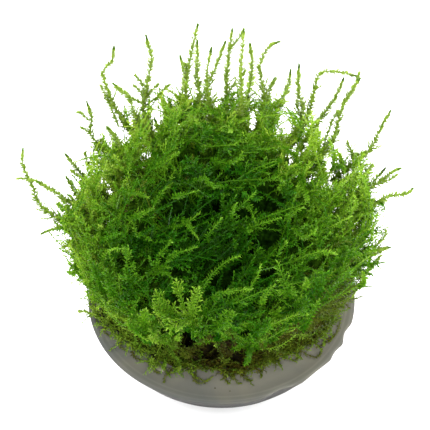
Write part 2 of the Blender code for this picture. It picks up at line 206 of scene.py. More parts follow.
# Feathered sprays that stand up round the far edge of the coat, with their depths.
OUTER_SPRAYS = (
    (22, 33.9, 21.5, 39.6, 22, 44.7, 12), (20.1, 35, 19.9, 39.6, 20.8, 43.1, 10),
    (17.9, 37, 18.3, 42, 18.1, 46.5, 12), (26.6, 30.5, 26.6, 34.4, 26.3, 37.8, 14),
    (29.8, 36.2, 29.8, 38.5, 28.9, 41.2, 16), (29.8, 30, 30.2, 35, 30.9, 38.9, 15),
    (31.1, 30.5, 32.1, 34.6, 32.3, 38.9, 14), (31.6, 32.8, 33, 35, 34.4, 36.4, 14),
    (32.1, 30.9, 33.2, 33.2, 33.7, 34.8, 13), (28.2, 31.6, 28.6, 33.9, 29.1, 36.2, 12),
    (27.5, 30, 27.9, 34, 27.7, 37.2, 12), (26.2, 31, 26, 33.5, 26.3, 36.2, 13),
    (28.9, 30.5, 28.8, 33.5, 28.4, 37, 15), (24.3, 32.3, 23.6, 33.2, 22.9, 34.6, 10),
    (-20, 45.4, -20.2, 47.2, -20.9, 48.6, 14), (-22.5, 43.7, -22.7, 46, -22.3, 48.6, 14),
    (-16.5, 43.2, -16.5, 46.7, -16.5, 49.3, 14), (-14.7, 43.2, -14.2, 47, -14.7, 49.7, 15),
    (-28.7, 36.2, -28.4, 39.2, -27.5, 41.9, 12), (-19.5, 39.6, -20.2, 42.4, -21.1, 45.1, 12),
    (-17.7, 39.6, -18.4, 43.1, -18.6, 46, 13), (-23.4, 37.3, -23.9, 39.6, -24.1, 41.7, 12),
    (-26.2, 36.2, -26.6, 38, -26.4, 39.6, 12), (-21.6, 39.6, -22, 41.9, -21.8, 45.6, 12),
    (-13.1, 45.4, -12.9, 48.3, -11.9, 51.1, 14), (-10.8, 46.5, -10.1, 49.3, -9.2, 51.8, 14),
    (-27.6, 34.4, -29.2, 35.8, -30.6, 36.6, 15), (-26.6, 36.4, -28.4, 38.6, -28.9, 40.6, 14),
    (32.3, 24.6, 35, 25.7, 37.4, 26.1, 18), (31.5, 20.6, 34.2, 21.5, 37, 20.9, 19),
    (31.6, 16.4, 34, 17.4, 36.6, 17.2, 19),
)
# Single twigs that cross one another at the far edge, with their depths.
OUTER_TWIGS = (
    (23.1, 40.3, 25.6, 38.5, 28.2, 36.2, 14), (17.9, 47, 16.5, 47, 14.9, 46.7, 16),
    (17.4, 47.9, 15.8, 48.8, 13.3, 50.2, 18), (15.6, 47.2, 13.5, 48.6, 11.2, 50.2, 16),
    (17.2, 39.6, 16.3, 38.5, 14.9, 37.3, 20),
)
# Branched sprays on the near side.
NEAR_SPRAYS = (
    (-6.9, -3.5, -6.2, 2.5, -5.3, 8.5), (-7.4, 0.2, -9.2, 4.8, -10.6, 10.1),
    (-9.4, 0.7, -12.9, 3.9, -15.2, 7.3), (-8.7, -0.3, -12.6, 2.3, -16.3, 4.6),
    (-5.1, 1.1, -8.7, 0.4, -12.9, -1.4), (-2.3, -2.1, 0, 0.7, 2.7, 2.5),
    (-17.4, -3.5, -18.1, 0.2, -17.4, 3.4), (-16.5, -3.9, -19, -1.6, -20.7, 1.1),
    (-3.9, -1.2, -5.1, -2.3, -6.4, -3), (17.9, -1.6, 19.9, 0.7, 21.8, 4.3),
    (15.1, 2.5, 17.9, 3.9, 20.6, 5.2), (21.5, 5.2, 22.9, 8.5, 22.9, 12.1),
    (22.9, 5.2, 26.3, 9.1, 30.2, 12.4), (16, 5.2, 14.4, 8, 13.7, 13.5),
    (-23.4, 3.4, -25.2, 7.5, -26.2, 12.1), (-20, 7.5, -21.6, 12.1, -21.1, 16.7),
    (-26.2, 5.2, -28.2, 9.8, -29.4, 14), (6.4, -3.9, 8.2, -1.6, 10.5, -0.7),
)
# The sprays round this place are painted fresher and lighter as painted light, within this reach.
LIT_FROND_PLACE = (-10.0, 4.0)
LIT_FROND_REACH = 7.5
# Single leafy shoots that lie over the near side.
NEAR_SHOOTS = (
    (-5.8, 5.2, -1.9, 11.4, 3.4, 15.3), (0.7, 3.9, 5.7, 8, 8.2, 14.4), (-1.9, 5.2, 1.4, 7.1, 5.5, 8),
    (7.3, -0.9, 11.9, 0.2, 17.2, 1.8), (16, 13.5, 20.6, 14.9, 26.1, 15.6),
    (6.6, -5.1, 5.7, -7.4, 4.8, -9.9), (-14, 15.6, -12.6, 16.9, -11, 18.5),
    (-12.6, 14, -9.4, 15.8, -5.5, 17.6), (-17.4, 35.7, -13.3, 36.9, -9, 39.4),
    (-12.4, 22.4, -8.7, 23.6, -5.1, 25.2), (-11, 29.3, -8.3, 29.8, -5.5, 30.5),
    (-8.7, 31.8, -4.6, 32.5, -1.6, 30), (-2.8, 36.7, 0.7, 38, 4.3, 39.6),
    (-4.6, 38.9, -2.1, 41.2, 2.3, 41.2), (-9.2, 23.8, -7.4, 21.8, -5.5, 19),
    (-2.8, 18.5, -3.2, 21.1, -1.6, 23.8), (-23.6, 30.5, -20.9, 29.8, -17.9, 28.6),
    (-21.3, 23.8, -18.1, 24.5, -15.4, 26.3), (3, 22.2, 2.7, 25.2, 3.9, 27.5),
    (-0.5, 36.2, 2, 36.7, 4.6, 36.7), (3.2, 25.4, 5.5, 27.9, 8, 29.8), (5.2, 27.5, 6.9, 26.1, 8, 23.6),
    (5.9, 21.3, 8.9, 22.9, 12.4, 24), (17.6, 34.4, 19.2, 32.3, 19.9, 29.1),
    (12.6, 15.1, 13.5, 16.7, 14.2, 18.3), (9.1, 4.8, 10.1, 5.9, 11, 7.1),
    (18.5, 7.5, 19, 8.9, 19.5, 10.5), (14.6, 23.8, 16.3, 25, 18.3, 25.4),
    (-20.7, 14.9, -22.5, 16.3, -25.2, 16.7), (16.9, 22.2, 18.5, 19.5, 21.1, 21.5),
    (-16.1, 26.8, -14.2, 29.1, -12.2, 30.9), (0.9, 31.4, -1.6, 31.6, -3.2, 32.8),
    (9.1, 32.8, 11.4, 33.2, 14, 31.4),
)
# Where both kinds root, bend and end, as shares of the dome's reach.
NEAR_SPRAY_SHARES = (0.94, 1.02, 1.06)
NEAR_SHOOT_SHARES = (0.96, 1.03, 1.05)
# The coat is thinned out just below the near shoots, within this reach, so that they stand out.
SHADE_SHIFT = (0.2, -0.7)
SHADE_REACH = 0.8
SHADE_SHARE = 0.6
# Single shoots that lie on the gel at the foot.
FOOT_SHOOTS = (
    (-11.7, -11.5, -12.6, -12.2, -13.1, -13.5), (-14.2, -11, -12.4, -11.5, -10.8, -11.3),
    (-7.1, -12.6, -5.3, -13.8, -2.1, -12.4), (-7.4, -12.2, -5.1, -12.9, -2.8, -13.1),
    (0, -11.3, 0.9, -12.9, 1.6, -13.8), (2, -11.9, 3.2, -13.1, 4.3, -13.8),
    (3.6, -11.3, 5.2, -12.6, 6.9, -13.1), (7.5, -10.3, 8.7, -11.3, 9.1, -12.2),
    (19, -6.9, 21.5, -7.8, 22.9, -6), (22.9, -6.4, 23.8, -4.6, 25.2, -3.7),
    (17.2, -6.7, 17.6, -7.6, 16.5, -8.5), (24.7, -4.4, 25.9, -2.8, 27.3, 1.1),
    (-21.1, -6.7, -20, -7.8, -17, -9), (-16.5, -9.2, -15.4, -10.6, -14.2, -11.5),
    (-28, -1.2, -26.6, -2.5, -25.2, -3), (-23.9, -3.9, -23.2, -5.3, -21.6, -6.4),
)

# Gaps in the moss that the light background shows through: centre, half width and half height.
SIGHT_GAPS = (
    (-17.9, 38, 0.8, 0.7), (-16.8, 38.5, 0.6, 0.3), (-27.3, 32.1, 0.6, 0.4), (-25.7, 29.5, 0.3, 0.4),
    (-3.5, 47.2, 0.5, 0.9), (-15.8, 44.7, 0.7, 1.4), (-15.1, 47, 1.1, 1.6), (7.3, 45.8, 0.9, 1.4),
    (5.7, 45.4, 0.3, 0.9), (15.3, 44.9, 0.7, 1.1), (15.6, 37.3, 0.9, 0.9), (16.3, 40.3, 0.7, 0.7),
    (18.8, 41.5, 0.7, 1.4), (20.1, 33.2, 0.8, 0.7), (16.7, 32.5, 0.6, 0.5), (24.3, 31.4, 0.7, 0.6),
    (23.6, 38.9, 0.25, 1.1), (24.4, 36.5, 0.45, 1.2), (25.3, 34, 0.2, 0.9), (25.9, 25.6, 0.5, 0.6),
    (25.4, 27.7, 0.5, 0.2), (13, 44.2, 0.3, 1.1), (23.8, 44.2, 0.8, 2), (28.2, 34.4, 0.7, 0.7),
    (-22.9, 43.5, 1.2, 1.1),
)
# Dark hollows in the near side of the coat, and brownish patches in it, in the same way.
HOLLOWS = (
    (-10.1, 26.8, 1.1, 2.5), (-3.5, 25.2, 0.7, 1.4), (5.2, 25.9, 1.6, 1.6), (10.1, 26.8, 1.8, 1.4),
    (9.4, 31.1, 0.9, 1.8), (10.7, 19.9, 2.3, 2.3), (-3.9, 14, 1.4, 0.8), (9.8, 11.2, 0.9, 1.1),
    (10.5, 4.3, 0.7, 0.9), (-8.5, 5.9, 0.5, 1.8), (-15.8, 7.5, 0.7, 1.6), (-22.7, 13.5, 0.9, 1.1),
    (-10.6, 11.7, 0.9, 0.7), (0, 9.1, 1.8, 1.1), (20.6, 13.7, 1.1, 0.9), (15.1, 16, 1.4, 0.7),
    (-5.8, 23.8, 0.9, 0.9), (-3.9, 38, 1.4, 1.1), (3.2, 33.4, 0.5, 0.9), (-7.4, 39.2, 0.9, 0.9),
    (-20.2, 27, 0.9, 0.7), (-18.4, 22.2, 0.9, 0.9), (-3.2, -6.4, 1.8, 1.4), (4.1, -7.4, 1.4, 1.1),
    (5.5, -2.3, 0.9, 0.7), (-7.8, -3.5, 1.1, 1.8),
)
BROWN_PATCHES = (
    (29.8, 20.8, 2.6, 2), (-7.3, 39.6, 1.3, 1.3), (-17.6, 33.9, 1.5, 1.3), (25.2, 7.4, 3.2, 3.6),
    (-24, -2.5, 4, 3),
)
# Hollows and patches only concern what lies this far in front of the heart. Shoots keep this far
# away from every gap, for the sake of their leaves.
HOLLOW_DEPTH = 3.0
LEAF_CLEARANCE = 0.4
# A shoot that meets a gap keeps the part before it, if that is more than this share of its length.
SHORTEST_SHARE = 0.35
# In front the moss is old below the first line, and it ends on the gel at the second.
OLD_LINE = (
    (-31, 1.1), (-24.5, -1.6), (-20, -2.3), (-15.4, -3.9), (-9.6, -2.8), (-5.1, -3.5), (-1.6, -2.8),
    (4.1, -4.1), (9.1, -3.6), (14.4, -2.6), (17.9, -2.2), (20.6, 1.2), (22.9, 6.5), (27, 10.5),
    (30, 11),
)
FOOT_LINE = (
    (-30.5, 1.1), (-28, -1.2), (-25.7, -2.8), (-23.9, -4.6), (-21.1, -6.7), (-17.7, -9), (-15.4, -10.6),
    (-13.1, -11.3), (-7.4, -11.7), (-1.6, -12.2), (4.1, -12.6), (7.5, -12.2), (9.1, -11), (14, -8.7),
    (17.9, -7.1), (21.8, -5.1), (24.7, -3.2), (26.3, -0.5), (27.7, 3), (29.8, 5.7),
)
# The old growth's look by its bearing in degrees: its age (0 brown to 1 green) and its tone (0 dark).
OLD_LOOKS = (
    (-180, 0.9, 0.36), (-132, 0.85, 0.3), (-115, 0.75, 0.16), (-100, 0.45, 0.06), (-84, 0.3, 0.06),
    (-70, 0.5, 0.22), (-45, 0.6, 0.28), (-15, 0.7, 0.3), (10, 0.6, 0.3), (180, 0.75, 0.36),
)
# The mat of old growth on the gel stops this far inside the foot line.
LITTER_MARGIN = 2.6
LITTER_HEIGHT = 1.0
# It lies this far over the gel. Its outline wanders and its top is bumpy by so much. Its rings shrink
# to a share of its reach, and this is how many rings it has and how many points in each.
LITTER_CLEARANCE = 0.1
LITTER_WANDERING = 0.5
LITTER_BUMPS = 0.35
LITTER_SMALLEST = 0.15
LITTER_RINGS = 14
LITTER_RING_STEPS = 180

# A pale scrap and dark grains that lie on the gel, as they are drawn, with their half sizes.
SCRAP_PLACES = ((-13.3, -10.5),)
SCRAP_SIZE = (1.7, 0.8, 0.3)
SCRAP_TURN = math.radians(-28.0)
GRAIN_PLACES = ((-1.4, -14.9), (-1.9, -16.5), (6.4, -16.8), (17.2, -11.7), (-3.7, -13.8), (2.0, -15.6))
GRAIN_SIZE = (0.2, 0.17, 0.1)

# Colour ramps: each stop is its place with a colour, or with one value for a grey.
# Moss leaves by age, in a fresh and in a deep tone, for the cushion, the free shoots and old growth.
FRESH_LEAF = (
    (0, 0.020, 0.040, 0.002), (0.3, 0.050, 0.125, 0.004), (0.6, 0.122, 0.283, 0.007),
    (0.85, 0.303, 0.460, 0.034), (1, 0.500, 0.640, 0.115),
)
DEEP_LEAF = (
    (0, 0.005, 0.015, 0.001), (0.3, 0.006, 0.048, 0.001), (0.6, 0.018, 0.130, 0.002),
    (0.85, 0.082, 0.285, 0.011), (1, 0.220, 0.440, 0.053),
)
FRESH_SHOOT = ((0, 0.19, 0.32, 0.018), (0.5, 0.335, 0.48, 0.062), (1, 0.475, 0.61, 0.13))
DEEP_SHOOT = (
    (0, 0.025, 0.09, 0.004), (0.3, 0.09, 0.21, 0.008), (0.5, 0.13, 0.245, 0.018), (1, 0.21, 0.335, 0.048),
)
FRESH_OLD = (
    (0, 0.085, 0.044, 0.006), (0.4, 0.130, 0.112, 0.010),
    (0.7, 0.140, 0.180, 0.012), (1, 0.210, 0.330, 0.025),
)
DEEP_OLD = (
    (0, 0.020, 0.011, 0.003), (0.4, 0.035, 0.036, 0.004),
    (0.7, 0.045, 0.080, 0.004), (1, 0.070, 0.170, 0.008),
)
# The three materials of the moss: two ramps, the tint of the light that comes through a leaf, how
# much of it does, and the roughness.
LEAF_LOOKS = {
    "moss": (FRESH_LEAF, DEEP_LEAF, (1.4, 1.25, 0.6), 0.48, 0.3),
    "shoot": (FRESH_SHOOT, DEEP_SHOOT, (1.2, 1.1, 0.6), 0.35, 0.3),
    "old": (FRESH_OLD, DEEP_OLD, (1.3, 1.1, 0.7), 0.3, 0.42),
}
# The matted inside: near black in its depth, as painted shade over its dark green, and painted lighter
# where the light comes through.
SHADED_INSIDE = ((0.35, 0.001, 0.004, 0.0004), (0.55, 0.004, 0.016, 0.001), (0.72, 0.012, 0.040, 0.002))
LIGHT_INSIDE = ((0.35, 0.020, 0.060, 0.003), (0.55, 0.050, 0.120, 0.006), (0.72, 0.110, 0.210, 0.012))
# The old growth under the moss, near black: painted shade over dark brown.
LITTER_SHADE_COLOURS = ((0.35, 0.003, 0.003, 0.001), (0.65, 0.016, 0.012, 0.002))
SCRAP_COLOURS = ((0.35, 0.11, 0.11, 0.08), (0.65, 0.21, 0.20, 0.15))
GRAIN_COLOURS = ((0.35, 0.02, 0.02, 0.01), (0.65, 0.06, 0.05, 0.02))
GEL_CLOUD = ((0.25, 0.130, 0.131, 0.115), (0.5, 0.166, 0.160, 0.130), (0.75, 0.205, 0.191, 0.143))
# The gel's side is painted darker in front as painted shade, the more so lower down: height as a share of
# the whole, and shade.
GEL_FRONT_SIDE_PAINTED_SHADES = ((0, 0.06), (0.6, 0.085), (0.9, 0.18))
# The painted shade of the side elsewhere, away from the front.
GEL_SIDE_PAINTED_SHADE = 0.62
# How much of the front's painted shade shows, by the distance towards the front as a share of the radius.
GEL_FRONT_SHARES = ((0.25, 0), (0.75, 1))
# Its top is painted darker towards the rim as painted shade: distance from the axis as a share of the
# radius, and shade. The two fine lighter lines are painted highlights where the skin of the gel turns up
# and where it turns over the edge.
GEL_RIM_PAINTED_SHADE_AND_HIGHLIGHTS = (
    (0.70, 1), (0.82, 0.82, 0.83, 0.84), (0.925, 0.62, 0.63, 0.65), (0.938, 0.72, 0.74, 0.76),
    (0.950, 0.56, 0.58, 0.60), (0.968, 0.55, 0.57, 0.60), (0.975, 0.64, 0.67, 0.72),
    (0.982, 0.53, 0.55, 0.60), (1, 0.38, 0.40, 0.45),
)
# It is painted a little lighter on the right as painted light: distance to the right as a share of the
# radius, and shade.
GEL_RIGHT_PAINTED_LIGHT = ((0, 0.99), (0.5, 1.09))
# Where the top's painted shades take over from the side's, by height.
GEL_TOP_SHARES = ((0.93, 0), (0.955, 1))

# Leaf proportions against its length: where it is widest, and the depth of its keel.
LEAF_WIDEST = 0.42
LEAF_KEEL = 0.07
# The leaves close up over this last part of a shoot.
CLOSED_TIP = 2.0
# The four sides of a leaf, by its base, its two middle corners and its tip.
LEAF_FACES = np.array(((0, 1, 3), (0, 3, 2), (0, 2, 1), (1, 2, 3)))
# How much each of those corners is shifted in age from the leaf: the base is painted darker as painted
# shade, the tip lighter as a painted highlight, and the middle corners a little apart.
LEAF_CORNER_PAINTED_LIGHT = (-0.1, 0.0, 0.02, 0.12)
LEAF_TONES = (0.0, 0.015, -0.015, 0.0)
# The sides of a stem between two rings of three corners, and the same small steps for a ring.
STEM_FACES = np.array(((0, 1, 4), (0, 4, 3), (1, 2, 5), (1, 5, 4), (2, 0, 3), (2, 3, 5)))
STEM_AGES = (0.0, 0.012, 0.024)
STEM_TONES = (0.0, 0.01, 0.02)
STEM_TAPER = 0.45
# Sprays: how many side branches they have, the longest one's length and the leaf's length.
COAT_SPRAY = (8, 4.6, 0.95)
NEAR_SPRAY = (14, 2.5, 1.0)
OUTER_SPRAY = (8, 2.6, 0.95)
# How branches leave a spray and twigs a free shoot: how far along, aside and up they lean, how
# loosely, and how much they bend back. One twig grows for each such length of a free shoot, within
# these shares of its length and as long as this.
SPRAY_SPREAD = (0.7, 0.8, 0.12, 0.13, 0.22)
TWIG_SPREAD = (0.8, 0.7, 0.0, 0.2, 0.25)
TWIG_GAP = 3.5
TWIG_PLACES = (0.12, 0.62)
TWIG_LENGTHS = (1.2, 3.4)
# Ages at root and tip, from 0 for the oldest to 1 for the newest, and tones from 0, deep, to 1, fresh.
TWIG_AGES = (0.5, 0.75)
TWIG_TONES = (0.4, 0.6)
SIDE_TWIG_AGES = (0.3, 0.8)
SIDE_TWIG_TONES = (0.3, 0.6)
FREE_AGES = (0.47, 0.74)
FREE_TONES = (0.4, 0.56)
BUD_AGES = (0.12, 0.2)
BUD_TONE = 0.15
# Leafy shoots: the leaf's length, the gap to the next leaf, the leaf's width as a share of its
# length, its opening in degrees, how much tones vary, how flat the shoot is, the bare share of its
# stem, the leaves' sizes at its root and tip, and the stem's radius.
LEAFY = dict(
    leaf=1.0, gap=0.21, width=0.4, opening=60.0, mottle=0.1, flat=0.25, bare=0.0,
    root_size=1.15, tip_size=0.75, stem=0.15,
)
# Shoots that differ from the usual ones.
EVEN = dict(LEAFY, root_size=1.0, tip_size=0.8)
COAT_SHOOT = dict(LEAFY, bare=0.28)
STRAY_SHOOT = dict(LEAFY, width=0.48, gap=0.17, flat=0.4, tip_size=0.85, stem=0.2)
NEAR_SHOOT = dict(LEAFY, width=0.45, flat=0.45, root_size=1.05)
OUTER_TWIG = dict(LEAFY, leaf=0.9)
RIM_SHOOT = dict(EVEN, leaf=0.8, gap=0.26, opening=62.0, stem=0.1, tip_size=0.85)
LYING_SHOOT = dict(EVEN, leaf=0.8, gap=0.14, opening=66.0, stem=0.08)
FREE_SHOOT = dict(
    LEAFY, leaf=1.2, width=0.56, gap=0.1, opening=56.0, root_size=1.5, tip_size=1.0, stem=0.28,
    mottle=0.15,
)
SIDE_TWIG = dict(EVEN, gap=0.15, flat=0.4, tip_size=0.85)
BUD = dict(EVEN, leaf=0.9, width=0.75, gap=0.07, opening=36.0, stem=0.3)
FREE_TWIG = dict(LEAFY, leaf=1.08, width=0.52, gap=0.1, opening=55.0, flat=0.3, tip_size=0.95, stem=0.24)


class Bed:
    """Collects points and triangles, with each point's age and tone, for one joined mesh."""

    def __init__(self):
        self.parts = []
        self.count = 0

    def add(self, points, triangles, ages, tones):
        self.parts.append((points, triangles + self.count, ages, tones))
        self.count += len(points)

    def joined(self):
        return tuple(np.concatenate(part) for part in zip(*self.parts))


def unit(vectors):
    """Return vectors at length 1."""
    return vectors / np.maximum(np.linalg.norm(vectors, axis=-1, keepdims=True), 1e-9)


def across(paths, rng):
    """Return a sideways direction for each path, square to the line from its root to its tip."""
    chord = unit(paths[:, -1] - paths[:, 0])
    loose = rng.normal(size=chord.shape)
    return unit(loose - chord * np.sum(loose * chord, axis=1, keepdims=True))


def path_frames(paths, reference):
    """Return the direction, side and upper vectors at every point of every path."""
    along = unit(np.gradient(paths, axis=1))
    side = unit(np.cross(along, np.atleast_2d(reference)[:, None]))
    return along, side, np.cross(side, along)


def path_lengths(paths):
    """Return the length of each path."""
    return np.linalg.norm(np.diff(paths, axis=1), axis=2).sum(axis=1)


def on_path(values, owner, share):
    """Return each path's values at a share of its length, blended between its points."""
    steps = values.shape[1]
    place = np.clip(share, 0, 1) * (steps - 1)
    low = np.minimum(place.astype(int), steps - 2)
    part = (place - low)[:, None]
    return values[owner, low] * (1 - part) + values[owner, low + 1] * part


def add_stems(bed, paths, frames, radius, ages, tones):
    """Add a three-sided tapering stem along each path."""
    count, steps, _ = paths.shape
    share = np.linspace(0, 1, steps)
    width = radius * (1 - STEM_TAPER * share)[:, None]
    turns = TAU * np.arange(3) / 3
    corners = [paths + (math.cos(turn) * frames[1] + math.sin(turn) * frames[2]) * width for turn in turns]
    start = np.arange(count)[:, None, None] * steps * 3
    sides = start[:, :, None] + 3 * np.arange(steps - 1)[:, None, None] + STEM_FACES
    last = (steps - 1) * 3
    caps = start + np.array(((2, 1, 0), (last, last + 1, last + 2)))
    triangles = np.concatenate((sides.reshape(-1, 3), caps.reshape(-1, 3)))
    age = ages[:, :1] + (ages[:, 1:] - ages[:, :1]) * share
    point_ages = np.repeat(age.ravel(), 3) + np.tile(STEM_AGES, count * steps)
    point_tones = np.repeat(tones, steps * 3) + np.tile(STEM_TONES, count * steps)
    bed.add(np.stack(corners, axis=2).reshape(-1, 3), triangles, point_ages, point_tones)


def add_leaves(bed, paths, frames, style, ages, tones, rng):
    """Add closed pointed leaves along each path, smaller and more upright towards its tip."""
    lengths = path_lengths(paths)
    numbers = np.maximum(4, (lengths * (1 - style["bare"]) / style["gap"]).astype(int))
    owner = np.repeat(np.arange(len(paths)), numbers)
    count = len(owner)
    order = np.arange(count) - np.repeat(np.cumsum(numbers) - numbers, numbers)
    share = (order + rng.uniform(0.2, 1, count)) / numbers[owner]
    share = style["bare"] + (1 - style["bare"]) * share
    base, along, side, upper = (on_path(values, owner, share) for values in (paths, *frames))
    along = unit(along)

    turn = (order * GOLDEN_ANGLE + owner * 1.7 + rng.normal(0, 0.3, count))[:, None]
    outward = unit(np.cos(turn) * side + np.sin(turn) * (1 - style["flat"]) * upper)
    closing = 0.35 + 0.65 * np.minimum(1, (1 - share) * lengths[owner] / CLOSED_TIP)
    opening = (np.radians(style["opening"]) * closing * rng.uniform(0.75, 1.25, count))[:, None]
    aim = along * np.cos(opening) + outward * np.sin(opening)
    broad = unit(np.cross(along, outward))
    face = unit(np.cross(broad, aim))

    shrink = style["root_size"] + (style["tip_size"] - style["root_size"]) * share
    length = (style["leaf"] * shrink * rng.uniform(0.75, 1.2, count))[:, None]
    middle = base + aim * length * LEAF_WIDEST - face * length * LEAF_KEEL
    half = broad * length * style["width"] * 0.5
    tip = base + aim * length + face * length * rng.uniform(-0.12, 0.2, count)[:, None]
    points = np.stack((base, middle + half, middle - half, tip), axis=1).reshape(-1, 3)
    triangles = (np.arange(count)[:, None, None] * 4 + LEAF_FACES).reshape(-1, 3)
    age = ages[owner, 0] + (ages[owner, 1] - ages[owner, 0]) * share + rng.normal(0, 0.03, count)
    tone = tones[owner] + rng.normal(0, style["mottle"], count)
    point_ages = np.repeat(age, 4) + np.tile(LEAF_CORNER_PAINTED_LIGHT, count)
    bed.add(points, triangles, point_ages, np.repeat(tone, 4) + np.tile(LEAF_TONES, count))


def grow(bed, paths, style, ages, tones, rng, reference=None):
    """Add leafy stems along paths, with the ages at root and tip and the tones of all or each."""
    if reference is None:
        reference = across(paths, rng)
    frames = path_frames(paths, reference)
    ages = np.broadcast_to(ages, (len(paths), 2))
    tones = np.broadcast_to(tones, len(paths))
    add_stems(bed, paths, frames, style["stem"], ages, tones)
    add_leaves(bed, paths, frames, style, ages, tones, rng)


def aged(tip_ages, span):
    """Return the ages at root and tip, for the age at the tip and how much less it is at the root."""
    return np.stack((tip_ages - span, tip_ages), axis=1)


def bows(root, bend, tip, steps):
    """Return points along the curve that leaves each root towards its bend and ends at its tip."""
    t = np.linspace(0, 1, steps)[None, :, None]
    return root[:, None] * (1 - t) ** 2 + bend[:, None] * 2 * t * (1 - t) + tip[:, None] * t ** 2


def bows_through(root, middle, tip, steps):
    """Return points along the curve through each root, middle and tip."""
    return bows(root, 2 * middle - 0.5 * (root + tip), tip, steps)


def standing_out(root, tip, outward, share):
    """Return bends that lie outward of the roots by a share of each shoot's length."""
    return root + outward * (np.linalg.norm(tip - root, axis=1) * share)[:, None]


def wandering(paths, amount, rng):
    """Return paths with a gentle random winding that grows from nothing at their roots."""
    count, steps, _ = paths.shape
    t = np.linspace(0, 1, steps)[None, :, None]
    for _ in range(2):
        heading = rng.normal(0, amount, (count, 1, 3))
        phase = rng.uniform(0, TAU, (count, 1, 1))
        speed = rng.uniform(2.5, 6, (count, 1, 1))
        paths = paths + heading * (np.sin(phase + speed * t) - np.sin(phase))
    return paths


def keep_values(mesh, label, values):
    """Keep one value for each point on the mesh."""
    layer = mesh.attributes.new(label, "FLOAT", "POINT")
    layer.data.foreach_set("value", values.astype(np.float32))


def add_object(name, mesh, material):
    """Add a mesh to the scene as an object of one material."""
    mesh.materials.append(material)
    obj = bpy.data.objects.new(name, mesh)
    bpy.context.scene.collection.objects.link(obj)
    return obj


def smooth_mesh(name, bm):
    """Turn a finished bmesh into a smooth mesh."""
    mesh = bpy.data.meshes.new(name)
    bm.to_mesh(mesh)
    bm.free()
    mesh.shade_smooth()
    return mesh


def add_moss(name, bed, material):
    """Turn a bed into one object, whose map places each point by its age and tone."""
    points, triangles, ages, tones = bed.joined()
    values = np.clip(np.stack((ages, tones), axis=1), 0.01, 0.99).astype(np.float32)
    corners = triangles.astype(np.int32).ravel()
    mesh = bpy.data.meshes.new(name)
    mesh.vertices.add(len(points))
    mesh.vertices.foreach_set("co", (points * MM).astype(np.float32).ravel())
    mesh.loops.add(len(corners))
    mesh.loops.foreach_set("vertex_index", corners)
    mesh.polygons.add(len(triangles))
    mesh.polygons.foreach_set("loop_start", np.arange(0, len(corners), 3, dtype=np.int32))
    mesh.update(calc_edges=True)
    mesh.shade_flat()
    keep_values(mesh, "age", values[:, 0])
    keep_values(mesh, "tone", values[:, 1])
    mesh.uv_layers.new(name="OFBake").data.foreach_set("uv", values[corners].ravel())
    return add_object(name, mesh, material)


def new_material(name):
    """Return a new material and its node tree, emptied."""
    material = bpy.data.materials.new(name)
    material.use_nodes = True
    material.node_tree.nodes.clear()
    return material, material.node_tree


def add_node(tree, kind, sockets=None, **settings):
    """Add a node with its settings. Each input named gets a value, or a link from another socket."""
    node = tree.nodes.new("ShaderNode" + kind)
    for name, setting in settings.items():
        setattr(node, name, setting)
    for name, source in (sockets or {}).items():
        if isinstance(source, bpy.types.NodeSocket):
            tree.links.new(source, node.inputs[name])
        else:
            node.inputs[name].default_value = source
    return node


def grey(shade):
    """Return the grey colour of a shade."""
    return (shade, shade, shade, 1)


def add_ramp(tree, value, stops):
    """Add a colour ramp over a value and return its colour socket."""
    ramp = add_node(tree, "ValToRGB", {0: value})
    elements = ramp.color_ramp.elements
    while len(elements) < len(stops):
        elements.new(0.5)
    for element, (place, *colour) in zip(elements, stops):
        element.position = place
        element.color = (*colour, 1) if len(colour) == 3 else grey(*colour)
    return ramp.outputs[0]


def mixed(tree, factor, first, second, blend="MIX"):
    """Add a node that mixes two colours and return its colour socket."""
    sockets = {"Factor": factor, "A": first, "B": second}
    return add_node(tree, "Mix", sockets, data_type="RGBA", blend_type=blend).outputs["Result"]


def kept_value(tree, name):
    """Add a node that reads a value kept on the mesh and return its socket."""
    return add_node(tree, "Attribute", attribute_name=name).outputs["Fac"]


def mottle(tree, scale, detail=2, distortion=0):
    """Add a cloudy pattern over the object and return its socket."""
    place = add_node(tree, "TexCoord").outputs["Object"]
    sockets = {"Vector": place, "Scale": scale, "Detail": detail, "Distortion": distortion}
    return add_node(tree, "TexNoise", sockets).outputs["Fac"]


def solid_shader(tree, colour, roughness, specular, ior=1.5):
    """Add an opaque shader and return its socket."""
    sockets = {"Base Color": colour, "Roughness": roughness, "IOR": ior, "Specular IOR Level": specular}
    return add_node(tree, "BsdfPrincipled", sockets).outputs[0]


def show(tree, shader):
    """Join a shader to the material's output."""
    add_node(tree, "OutputMaterial", {"Surface": shader})


def leaf_material(name, fresh, deep, glow, see_through, roughness):
    """Return a thin-leaf material: two ramps over age, mixed by tone, with light let through."""
    material, tree = new_material(name)
    age = kept_value(tree, "age")
    colour = mixed(tree, kept_value(tree, "tone"), add_ramp(tree, age, deep), add_ramp(tree, age, fresh))
    solid = solid_shader(tree, colour, roughness, specular=0.12, ior=1.45)
    tint = mixed(tree, 1, colour, (*glow, 1), "MULTIPLY")
    thin = add_node(tree, "BsdfTranslucent", {"Color": tint}).outputs[0]
    show(tree, add_node(tree, "MixShader", {"Fac": see_through, 1: solid, 2: thin}).outputs[0])
    return material


def mottled_material(name, stops, scale, roughness):
    """Return a material that mottles between two colours."""
    material, tree = new_material(name)
    show(tree, solid_shader(tree, add_ramp(tree, mottle(tree, scale), stops), roughness, specular=0.1))
    return material


def inner_material():
    """Return the matted inside of the moss, mottled: near black with painted shade, and a painted lighter
    green near its outline where light comes through.
    """
    material, tree = new_material("matted_inside")
    spots = mottle(tree, 900, detail=6)
    deep = add_ramp(tree, spots, SHADED_INSIDE)
    colour = mixed(tree, kept_value(tree, "painted_light_through"), deep, add_ramp(tree, spots, LIGHT_INSIDE))
    show(tree, solid_shader(tree, colour, roughness=1, specular=0))
    return material


